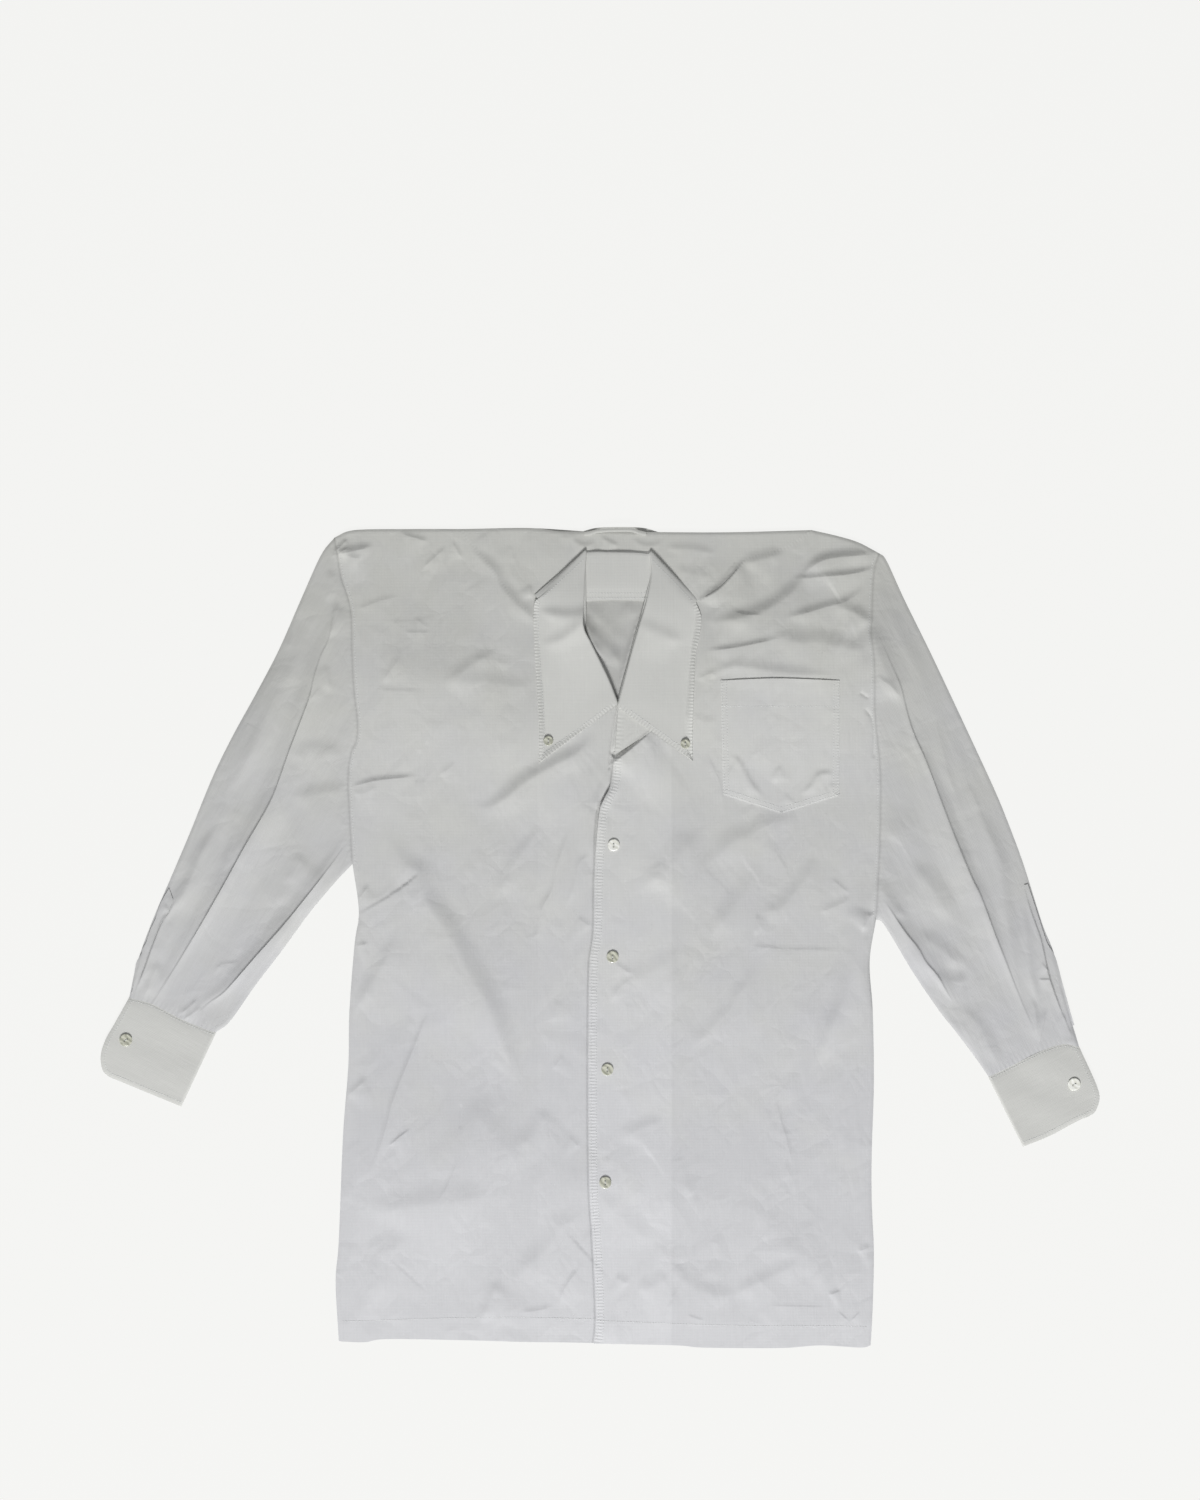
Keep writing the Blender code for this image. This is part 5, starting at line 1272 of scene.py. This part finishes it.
def build_cuff(side, seam, foot, end, fold):
    """A stiff band folded at its inner side. Both layers are one sheet round the fold."""
    depth_spans, spans = 34, 44
    seam_path, foot_path = smooth_path(seam, spans), smooth_path(foot, spans)
    plan = patch(smooth_path(end, depth_spans), smooth_path(fold, depth_spans), seam_path, foot_path)
    towards = plan[:, -1] - plan[:, -2]
    towards /= np.linalg.norm(towards, axis=1)[:, None]
    flat = plan.reshape(-1, 2)
    waves = 0.35 * np.sin(flat[:, 0] / 17 + flat[:, 1] / 11) * np.cos(flat[:, 1] / 19)
    top_z = 2.5 + waves + 0.5 * crease_height(flat, FAINT_CREASES)
    round_off = np.min([distance_to(flat, path)[0] for path in (plan[:, 0], plan[-1])], axis=0)
    sunk = 0.5 * (1 - smoothstep(distance_to(flat, seam_path)[0] / 4))
    top_z -= 0.5 * (1 - smoothstep(round_off / 2.5)) + sunk
    top = np.dstack([plan, top_z.reshape(plan.shape[:2])])
    top[:, -1, :2] -= 0.9 * towards
    middle = np.concatenate([plan[:, -1] - 0.1 * towards, np.full((len(plan), 1), 1.6)], axis=1)[:, None]
    under = np.dstack([plan, np.full(plan.shape[:2], 0.7)])[:, ::-1]
    under[:, 0, :2] -= 0.9 * towards
    grid = np.concatenate([top, middle, under], axis=1)
    made = woven_sheet(f"cuff_{side}_cloth", grid[::-1] if side == "left" else grid, CUFF_CLOTH, 0)
    outwards(made)
    dress(made, cloth_finish(f"poplin_{side}_cuff"), "poplin_stiff", "cuff_" + side)
    gathered_by(made, ((seam, SEAM_PITCH, 0.7), (foot, SEAM_PITCH, 0.35), (end, SEAM_PITCH, 0.35)))


def section_grid(rows, across):
    """Points along each section of a collar piece, with its bow between the roll and the edge."""
    share = np.array(across)[:, None]
    grid = []
    for row in rows:
        start, end = np.array(row[:3], float), np.array(row[3:6], float)
        line = (1 - share) * start + share * end
        if len(row) == 7:
            line[:, 2] += row.crown * 4 * (share * (1 - share))[:, 0]
        grid.append(line)
    return np.array(grid)


def rolled_under(grid, out, down):
    """The grid with a rounded roll added before its first column."""
    outward = grid[:, 0] - grid[:, 2]
    outward[:, 2] = 0
    outward /= np.maximum(np.linalg.norm(outward, axis=1), 1e-6)[:, None]
    turns = []
    for turn in (150, 110, 70, 35):
        a = math.radians(turn)
        step = outward * out * math.sin(a)
        step[:, 2] -= 0.5 * down * (1 - math.cos(a))
        turns.append(grid[:, 0] + step)
    return np.concatenate([np.array(turns).transpose(1, 0, 2), grid], axis=1)


def build_stand():
    """The stand of the collar, rolled under the fall, with its short pleats at the right end."""
    grid = section_grid(STAND, STAND_ACROSS)
    late = smoothstep((np.array(STAND_ACROSS) - 0.6) / 0.4)
    for row, sizes in zip(grid, STAND):
        row[:, 2] = (1 - late) * sizes.roll_z + late * sizes.seam_z
    fine = refined(grid, 6, 5)
    flat = fine.reshape(-1, 3)
    on_fronts = np.maximum(flat[:, 2], right_front_top(flat[:, :2]) + 0.6)
    right_end = smoothstep((flat[:, 0] - 8) / 6) * smoothstep((250 - flat[:, 1]) / 20)
    flat[:, 2] = (1 - right_end) * flat[:, 2] + right_end * on_fronts
    ridges = 0.28 * np.sin((flat[:, 1] - 180) / 1.05) * smoothstep((196 - flat[:, 1]) / 6)
    ridges *= smoothstep((flat[:, 1] - 176) / 4) * smoothstep((32 - flat[:, 0]) / 8)
    flat[:, 2] += ridges * (flat[:, 0] > 8)
    made = woven_sheet("collar_stand_cloth", rolled_under(fine, 1.0, 1.8), COLLAR_CLOTH, 0, flip=True)
    dress(made, cloth_finish("poplin_collar"), "poplin_stiff", "collar_stand")
    gathered_by(made, ((((17, 212), (14.5, 176)), 4.0, 1.0), (((-12, 325), (45, 325)), SEAM_PITCH, 0.4)),
                reach=9)


def leaf_edge(rows):
    """The free edge of a leaf of the collar, from above."""
    return np.array([(row.edge_x, row.edge_y) for row in rows], float)


def build_fall():
    """The fall of the collar with its two long pointed leaves."""
    fine = refined(section_grid(LEFT_LEAF + UNDER_THE_BACK + RIGHT_LEAF, FALL_ACROSS), 8, 8)
    flat = fine.reshape(-1, 3)
    on_leaf = np.ones(len(fine), bool)
    on_leaf[len(LEFT_LEAF) * 8 - 8:(len(LEFT_LEAF) + len(UNDER_THE_BACK)) * 8] = False
    on_leaf = np.repeat(on_leaf, fine.shape[1])
    below = np.where(flat[:, 0] < 18, left_front_top(flat[:, :2]), right_front_top(flat[:, :2]))
    raised = np.maximum(flat[:, 2] + crease_height(flat[:, :2], COLLAR_CREASES), below + 0.55)
    flat[:, 2] = np.where(on_leaf, raised, flat[:, 2])
    made = woven_sheet("collar_fall_cloth", rolled_under(fine, 1.1, 2.4), COLLAR_CLOTH, 0, flip=True)
    dress(made, cloth_finish("poplin_collar"), "poplin_stiff", "collar_fall")
    edges = (leaf_edge(LEFT_LEAF), leaf_edge(RIGHT_LEAF), LEFT_LEAF_FOOT, RIGHT_LEAF_FOOT)
    gathered_by(made, [(path, SEAM_PITCH, 1.5) for path in edges])


def pocket_top(places):
    """The pocket lies on the right front. Its mouth stands a little open."""
    sides = np.min([distance_to(places, stepped(path, 4))[0] for path in (POCKET_LEFT, POCKET_RIGHT)]
                   + [distance_to(places, np.array(POCKET_FOOT, float))[0]], axis=0)
    mouth = distance_to(places, stepped(POCKET_MOUTH, 4))[0]
    lift = 0.65 - 0.3 * (1 - smoothstep(sides / 2.2))
    gape = 0.35 * (1 - smoothstep(mouth / 20)) * smoothstep(sides / 18)
    turned_in = 0.08 * (1 - smoothstep((mouth - 24) / 1.5))
    return right_front_top(places) + lift + (gape + turned_in)


def build_pocket():
    """The patch pocket on the right front."""
    outline = closed(stepped(POCKET_FOOT[:2], SMALL_SPACING), stepped(POCKET_FOOT[1:], SMALL_SPACING),
                     stepped(POCKET_RIGHT, SMALL_SPACING), stepped(POCKET_MOUTH, SMALL_SPACING)[::-1],
                     stepped(POCKET_LEFT, SMALL_SPACING)[::-1])
    made = cut_sheet("pocket_cloth", outline, 2.0, pocket_top)
    dress(made, cloth_finish("poplin_pocket"), "poplin", "pocket")
    edges = (POCKET_LEFT, POCKET_RIGHT, POCKET_FOOT[:2], POCKET_FOOT[1:])
    gathered_by(made, [(path, SEAM_PITCH, 0.7) for path in edges])


def build_placket(side, outer, inner):
    """A narrow strip on the opening of a sleeve."""
    outer_path, inner_path = smooth_path(outer, PLACKET_SPANS), smooth_path(inner, PLACKET_SPANS)
    share = np.linspace(0, 1, 7)[None, :, None]
    plan = (1 - share) * outer_path[:, None] + share * inner_path[:, None]
    height = np.maximum(top_layer(plan.reshape(-1, 2)), 2.0) + 0.65
    grid = np.dstack([plan, height.reshape(plan.shape[:2])])
    made = woven_sheet(f"placket_{side}_cloth", grid, CLOTH, 0, flip=side == "left")
    dress(made, cloth_finish(f"poplin_{side}_sleeve"), "poplin", "placket_" + side)


def build_loop():
    """The hanger loop, a strip that stands off the yoke between its two ends."""
    grid = np.array([[(row.x, row.low_y, row.height),
                      (row.x, 0.5 * (row.low_y + row.high_y), row.height + 0.3),
                      (row.x, row.high_y, row.height)] for row in LOOP_SECTIONS])
    fine = refined(grid, 8, 3).transpose(1, 0, 2)
    flat = fine.reshape(-1, 3)
    flat[:, 2] = np.maximum(flat[:, 2] + 0.6, top_layer(flat[:, :2]) + 0.4)
    made = woven_sheet("hanger_loop_cloth", fine, LOOP_CLOTH, 0)
    dress(made, cloth_finish("poplin_back"), "poplin", "hanger_loop")


# The half section of a button from its top centre down, as shares of its radius and its thickness: a
# dished middle, a raised rim and a flat foot
BUTTON_SECTION = ((0, 0.64), (0.35, 0.65), (0.52, 0.68), (0.64, 0.74), (0.74, 0.8), (0.83, 0.82), (0.94, 0.8),
                  (0.99, 0.66), (1, 0.45), (0.95, 0.2), (0.7, 0), (0, 0))


def drilled_disc(name, radius, thickness, across):
    """A turned disc with two holes beside its middle, as a mesh."""
    shown = SHELL_SHARE * thickness
    profile = [(r * radius, 0, z * shown) for r, z in BUTTON_SECTION]
    disc = object_of(name, profile, [], [(i, i + 1) for i in range(len(profile) - 1)])
    screw = disc.modifiers.new("turned", "SCREW")
    screw.steps = screw.render_steps = 48
    screw.use_merge_vertices = True
    screw.merge_threshold = 0.00001
    drills = []
    for sign in (-1, 1):
        shape = bmesh.new()
        bmesh.ops.create_cone(shape, cap_ends=True, segments=18, radius1=HOLE_RADIUS * MM,
                              radius2=HOLE_RADIUS * MM, depth=4 * thickness * MM)
        bmesh.ops.translate(shape, verts=shape.verts, vec=across * sign * 0.5 * HOLE_SPACING * MM)
        drills.append(in_scene("drill", mesh_from(shape, "drill")))
        hole = disc.modifiers.new("hole", "BOOLEAN")
        hole.operation = "DIFFERENCE"
        hole.object = drills[-1]
    turned = finished_mesh(disc)
    for leftover in drills + [disc]:
        bpy.data.objects.remove(leftover)
    return turned


def button_seat(trees, x, y, radius):
    """Where a button lies on the cloth, tilted with the cloth's slope."""
    turns = np.linspace(0, 2 * math.pi, 13)[:-1]
    spots = [(x, y)] + [(x + radius * math.cos(a), y + radius * math.sin(a)) for a in turns]
    spots = [(px, py, height_below(trees, px, py)) for px, py in spots]
    spots = np.array([spot for spot in spots if spot[2] is not None])
    aside = spots[:, :2] - (x, y)
    slope = np.linalg.lstsq(np.column_stack([aside, np.ones(len(spots))]), spots[:, 2], rcond=None)[0]
    level = slope[2] + (spots[:, 2] - aside @ slope[:2] - slope[2]).max()
    tilt = Vector((0, 0, 1)).rotation_difference(Vector((-slope[0], -slope[1], 1))).to_matrix().to_4x4()
    return Matrix.Translation((x * MM, y * MM, (level + BUTTON_GAP) * MM)) @ tilt


def build_button(name, trees):
    """A turned shell disc with a rim and two holes, with its thread, laid along the cloth under it."""
    x, y, (diameter, thickness), turn = BUTTON_PLACES[name]
    angle = math.radians(turn)
    across = Vector((math.cos(angle), math.sin(angle), 0))
    turned = drilled_disc(name + "_turned", 0.5 * diameter, thickness, across)
    seat = button_seat(trees, x, y, 0.5 * diameter)

    def finish_shell(shape):
        bmesh.ops.remove_doubles(shape, verts=shape.verts, dist=0.000005)
        bmesh.ops.recalc_face_normals(shape, faces=shape.faces)
        bmesh.ops.transform(shape, matrix=seat, verts=shape.verts)

    reshaped(turned, finish_shell)
    turned.shade_smooth()
    made = in_scene(name + "_shell", turned)
    made.data.set_sharp_from_angle(angle=math.radians(40))
    bright = name in ("button_front_1", "button_cuff_right")
    dress(made, cloth_finish("bright_shell_button" if bright else "grey_shell_button"), "shell_button", name)

    shape = bmesh.new()
    stretched = Matrix.Rotation(angle, 4, "Z") @ Matrix.Diagonal(
        (0.5 * (HOLE_SPACING + 0.5) * MM, 0.2 * MM, 0.24 * MM, 1))
    for offset in (-0.26, 0.26):
        aside = Vector((-across.y, across.x, 0)) * offset * MM
        bar = bmesh.ops.create_uvsphere(shape, u_segments=8, v_segments=6, radius=1.0)
        lift = Matrix.Translation(aside + Vector((0, 0, (0.41 * thickness + 0.05) * MM)))
        bmesh.ops.transform(shape, matrix=seat @ lift @ stretched, verts=bar["verts"])
    thread = in_scene(name + "_thread", mesh_from(shape, name + "_thread"))
    thread.data.shade_smooth()
    dress(thread, cloth_finish("thread"), "poplin")


# Stitching


def stitch_tree(material):
    """Stitches along a line: evenly spaced on it, each a short rounded bar of thread."""
    tree = bpy.data.node_groups.new("stitches", "GeometryNodeTree")
    tree.interface.new_socket("Line", in_out="INPUT", socket_type="NodeSocketGeometry")
    for name, default in (("Pitch", 2.6 * MM), ("Length", 1.9 * MM), ("Width", 0.45 * MM)):
        tree.interface.new_socket(name, in_out="INPUT", socket_type="NodeSocketFloat").default_value = default
    tree.interface.new_socket("Stitches", in_out="OUTPUT", socket_type="NodeSocketGeometry")
    sizes = node(tree, "NodeGroupInput").outputs
    curve = node(tree, "GeometryNodeMeshToCurve", {"Mesh": sizes["Line"]})
    spaced = node(tree, "GeometryNodeResampleCurve", {"Curve": curve.outputs[0], "Length": sizes["Pitch"]},
                  mode="LENGTH")
    tangent = node(tree, "GeometryNodeInputTangent")
    turn = node(tree, "FunctionNodeAlignRotationToVector", {"Vector": tangent.outputs[0]}, axis="X")
    bar = node(tree, "GeometryNodeMeshUVSphere", {"Segments": 6, "Rings": 4, "Radius": 0.5})
    flatter = node(tree, "ShaderNodeMath", {0: sizes["Width"], 1: 0.6}, operation="MULTIPLY")
    shape = node(tree, "ShaderNodeCombineXYZ", {"X": sizes["Length"], "Y": sizes["Width"],
                                                "Z": flatter.outputs[0]})
    placed = node(tree, "GeometryNodeInstanceOnPoints", {
        "Points": spaced.outputs[0], "Instance": bar.outputs[0], "Rotation": turn.outputs[0],
        "Scale": shape.outputs[0]})
    real = node(tree, "GeometryNodeRealizeInstances", {"Geometry": placed.outputs[0]})
    finished = node(tree, "GeometryNodeSetMaterial", {"Geometry": real.outputs[0], "Material": material})
    node(tree, "NodeGroupOutput", {0: finished.outputs[0]})
    return tree


def sewn(name, paths, trees):
    """Rows of stitches along paths on the finished cloth, as one plain mesh."""
    sizes = bpy.context.scene.shirt_sizes
    vertices, edges = [], []
    for path in paths:
        start = None
        for x, y in path:
            height = height_below(trees, x, y)
            if height is None:
                start = None
                continue
            vertices.append((x, y, height + STITCH_LIFT))
            if start is not None:
                edges.append((start, len(vertices) - 1))
            start = len(vertices) - 1
    line = object_of(name, vertices, [], edges)
    tree = bpy.data.node_groups.get("stitches") or stitch_tree(cloth_finish("thread"))
    modifier = line.modifiers.new("stitches", "NODES")
    modifier.node_group = tree
    inputs = {item.name: item.identifier for item in tree.interface.items_tree if item.in_out == "INPUT"}
    modifier[inputs["Pitch"]] = sizes.stitch_pitch
    modifier[inputs["Length"]] = sizes.stitch_length
    modifier[inputs["Width"]] = sizes.thread_width
    plain = finished_mesh(line)
    line.modifiers.remove(modifier)
    line.data = plain
    plain.shade_smooth()
    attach(line, "root")


def row_beside(points, aside, skipped=0, left_out=0):
    """Places for a row of stitches beside a line, without some at its start and at its end."""
    row = moved_aside(stepped(points, STITCH_STEP), aside)
    return row[skipped:len(row) - left_out]


def level_row(start, end, y):
    """Places for a row of stitches along one y."""
    x = np.arange(start, end, STITCH_STEP)
    return np.column_stack([x, np.full(len(x), y)])


def build_stitching():
    """The rows of stitches, each piece's as one object."""
    bpy.context.view_layer.update()
    fronts = surface_of("front_left_cloth", "front_right_cloth")
    sewn("stitch_closure", [row_beside(FREE_EDGE, -2.6, 2, 2), row_beside(FREE_EDGE, -7.4, 2, 2)], fronts)
    below_hem_fold = (0, 1.2)
    sewn("stitch_hem", [row_beside(HEM_FOLD_LEFT, 0, 4, 2) - below_hem_fold,
                        row_beside(HEM_FOLD_RIGHT, 0, 2, 4) - below_hem_fold], fronts)
    left_head = ((-59.5, 324), (-37, 345), (-15, 365.5))
    right_head = ((92.5, 320.5), (71, 343), (49.5, 364.5))
    sewn("stitch_collar",
         [row_beside(leaf_edge(LEFT_LEAF), -4.4, 2, 3), row_beside(LEFT_LEAF_FOOT, 4.4, 2, 4),
          row_beside(left_head, -4.4, 2, 3), row_beside(leaf_edge(RIGHT_LEAF)[::-1], -4.4, 3, 2)[::-1],
          row_beside(RIGHT_LEAF_FOOT, -4.4, 2, 4), row_beside(right_head, 4.4, 2, 3)],
         surface_of("collar_fall_cloth"))
    sewn("stitch_stand", [level_row(-12, 46, 327.0), level_row(-12, 46, 322.4)],
         surface_of("collar_stand_cloth"))
    foot = (POCKET_FOOT[:2], POCKET_FOOT[1:])
    sewn("stitch_pocket",
         [row_beside(POCKET_LEFT, -1.4), row_beside(POCKET_LEFT, -5.4, 0, 1), row_beside(POCKET_RIGHT, 1.4),
          row_beside(POCKET_RIGHT, 5.4, 0, 1)] + [row_beside(edge, 1.4) for edge in foot]
         + [row_beside(edge, 5.4, 1, 1) for edge in foot] + [level_row(116, 227, 219.6)],
         surface_of("pocket_cloth"))
    sewn("stitch_armholes", [row_beside(ARMHOLE_LEFT, -2.6, 1, 3), row_beside(ARMHOLE_RIGHT, 2.6, 1, 3)],
         fronts)
    rows = []
    for side, seam, foot, end in ((1, CUFF_SEAM_LEFT, CUFF_FOOT_LEFT, CUFF_END_LEFT),
                                  (-1, CUFF_SEAM_RIGHT, CUFF_FOOT_RIGHT, CUFF_END_RIGHT)):
        rows += [row_beside(seam, -2.0 * side, 1, 1), row_beside(foot, 4.0 * side, 1, 1),
                 row_beside(end, 4.0 * side, 1, 1)]
    sewn("stitch_cuffs", rows, surface_of("cuff_left_cloth", "cuff_right_cloth"))


# The stage


def build_stage():
    """The lit table, the soft light from the hem's side and the camera straight above."""
    scene = bpy.context.scene
    scene.view_settings.view_transform = "Standard"
    floor = object_of("floor", [(-2500, -2500, -0.2), (2500, -2500, -0.2), (2500, 2900, -0.2),
                                (-2500, 2900, -0.2)], [(0, 1, 2, 3)])
    # a light table of matt acrylic glows evenly, so that only a trace of a shadow is left on it
    acrylic, tree, shader = new_material("lit_white_table")
    fill_in(tree, shader, {"Base Color": linear("#3C3C3C"), "Emission Color": linear("#F4F4F2"),
                           "Emission Strength": 0.96, "Roughness": 0.9, "Specular IOR Level": 0.0})
    floor.data.materials.append(acrylic)

    scene.world = scene.world or bpy.data.worlds.new("studio")
    scene.world.use_nodes = True
    tree = scene.world.node_tree
    fill_in(tree, tree.nodes["Background"], {"Color": (0.97, 0.985, 1.0, 1), "Strength": 0.28})

    # a softbox low behind the hem
    light = bpy.data.lights.new("key_softbox", "AREA")
    light.shape = "SQUARE"
    light.size = 1.4
    light.energy = 268
    softbox = in_scene("key_softbox", light)
    softbox.location = (-0.4, -4.1, 2.95)
    softbox.rotation_mode = "QUATERNION"
    softbox.rotation_quaternion = (Vector((0, 0.1, 0)) - softbox.location).to_track_quat("-Z", "Y")

    # straight above, as far up as the frame needs at this focal length
    lens = bpy.data.cameras.new("camera")
    lens.lens = 85
    lens.sensor_width = 36
    camera = in_scene("camera", lens)
    camera.location = (0, 178.2 * MM, 1.425 * 85 / 36)
    scene.camera = camera


# The add-on


class ShirtOperator:
    bl_options = {"REGISTER", "UNDO"}


class SHIRT_OT_back(ShirtOperator, bpy.types.Operator):
    """Lay the back flat"""
    bl_idname = "shirt.back"
    bl_label = "Back"

    def execute(self, context):
        build_back()
        return {"FINISHED"}


class SHIRT_OT_fronts(ShirtOperator, bpy.types.Operator):
    """Lay both fronts and the yoke on the back, with their creases"""
    bl_idname = "shirt.fronts"
    bl_label = "Fronts and yoke"

    def execute(self, context):
        build_yoke()
        build_front_left()
        build_front_right()
        return {"FINISHED"}


class SHIRT_OT_sleeves(ShirtOperator, bpy.types.Operator):
    """Make both sleeves as flattened tubes, with their plackets"""
    bl_idname = "shirt.sleeves"
    bl_label = "Sleeves"

    def execute(self, context):
        build_sleeve("left", ARMHOLE_LEFT, SLEEVE_LEFT_OUTER, SLEEVE_LEFT_INNER, CUFF_SEAM_LEFT)
        build_sleeve("right", ARMHOLE_RIGHT, SLEEVE_RIGHT_OUTER, SLEEVE_RIGHT_INNER, CUFF_SEAM_RIGHT)
        build_placket("left", PLACKET_LEFT_OUTER, PLACKET_LEFT_INNER)
        build_placket("right", PLACKET_RIGHT_OUTER, PLACKET_RIGHT_INNER)
        return {"FINISHED"}


class SHIRT_OT_cuffs(ShirtOperator, bpy.types.Operator):
    """Make both cuffs as stiff folded bands"""
    bl_idname = "shirt.cuffs"
    bl_label = "Cuffs"

    def execute(self, context):
        build_cuff("left", CUFF_SEAM_LEFT, CUFF_FOOT_LEFT, CUFF_END_LEFT, CUFF_FOLD_LEFT)
        build_cuff("right", CUFF_SEAM_RIGHT, CUFF_FOOT_RIGHT, CUFF_END_RIGHT, CUFF_FOLD_RIGHT)
        return {"FINISHED"}


class SHIRT_OT_collar(ShirtOperator, bpy.types.Operator):
    """Make the stand and the long pointed fall of the collar"""
    bl_idname = "shirt.collar"
    bl_label = "Collar"

    def execute(self, context):
        build_stand()
        build_fall()
        return {"FINISHED"}


class SHIRT_OT_pocket(ShirtOperator, bpy.types.Operator):
    """Lay the patch pocket on the right front"""
    bl_idname = "shirt.pocket"
    bl_label = "Pocket"

    def execute(self, context):
        build_pocket()
        return {"FINISHED"}


class SHIRT_OT_loop(ShirtOperator, bpy.types.Operator):
    """Make the hanger loop at the top fold"""
    bl_idname = "shirt.loop"
    bl_label = "Hanger loop"

    def execute(self, context):
        build_loop()
        return {"FINISHED"}


class SHIRT_OT_buttons(ShirtOperator, bpy.types.Operator):
    """Turn the shell buttons and lay them on the cloth"""
    bl_idname = "shirt.buttons"
    bl_label = "Buttons"

    def execute(self, context):
        bpy.context.view_layer.update()
        trees = surface_of("front_right_cloth", "collar_fall_cloth", "cuff_left_cloth", "cuff_right_cloth")
        for name in BUTTON_PLACES:
            build_button(name, trees)
        return {"FINISHED"}


class SHIRT_OT_stitching(ShirtOperator, bpy.types.Operator):
    """Sew the rows of stitches along the edges and seams"""
    bl_idname = "shirt.stitching"
    bl_label = "Stitching"

    def execute(self, context):
        build_stitching()
        return {"FINISHED"}


class SHIRT_OT_stage(ShirtOperator, bpy.types.Operator):
    """Set the pale floor, the soft light and the camera"""
    bl_idname = "shirt.stage"
    bl_label = "Stage"

    def execute(self, context):
        build_stage()
        return {"FINISHED"}


class SHIRT_PT_panel(bpy.types.Panel):
    bl_idname = "SHIRT_PT_panel"
    bl_label = "Crumpled shirt"
    bl_space_type = "VIEW_3D"
    bl_region_type = "UI"
    bl_category = "Shirt"

    def draw(self, context):
        layout = self.layout
        for group in (context.scene.shirt_sizes, context.scene.shirt_colours):
            for name in group.__annotations__:
                layout.prop(group, name)
        for operator in OPERATORS:
            layout.operator(operator.bl_idname)


OPERATORS = (SHIRT_OT_stage, SHIRT_OT_back, SHIRT_OT_fronts, SHIRT_OT_sleeves, SHIRT_OT_cuffs,
             SHIRT_OT_collar, SHIRT_OT_pocket, SHIRT_OT_loop, SHIRT_OT_buttons, SHIRT_OT_stitching)
CLASSES = (ShirtSizes, ShirtColours) + OPERATORS + (SHIRT_PT_panel,)


def register():
    for item in CLASSES:
        bpy.utils.register_class(item)
    bpy.types.Scene.shirt_sizes = bpy.props.PointerProperty(type=ShirtSizes)
    bpy.types.Scene.shirt_colours = bpy.props.PointerProperty(type=ShirtColours)


def unregister():
    del bpy.types.Scene.shirt_colours
    del bpy.types.Scene.shirt_sizes
    for item in reversed(CLASSES):
        bpy.utils.unregister_class(item)


def main():
    register()
    for operator in OPERATORS:
        group, name = operator.bl_idname.split(".")
        getattr(getattr(bpy.ops, group), name)()


if __name__ == "__main__":
    main()
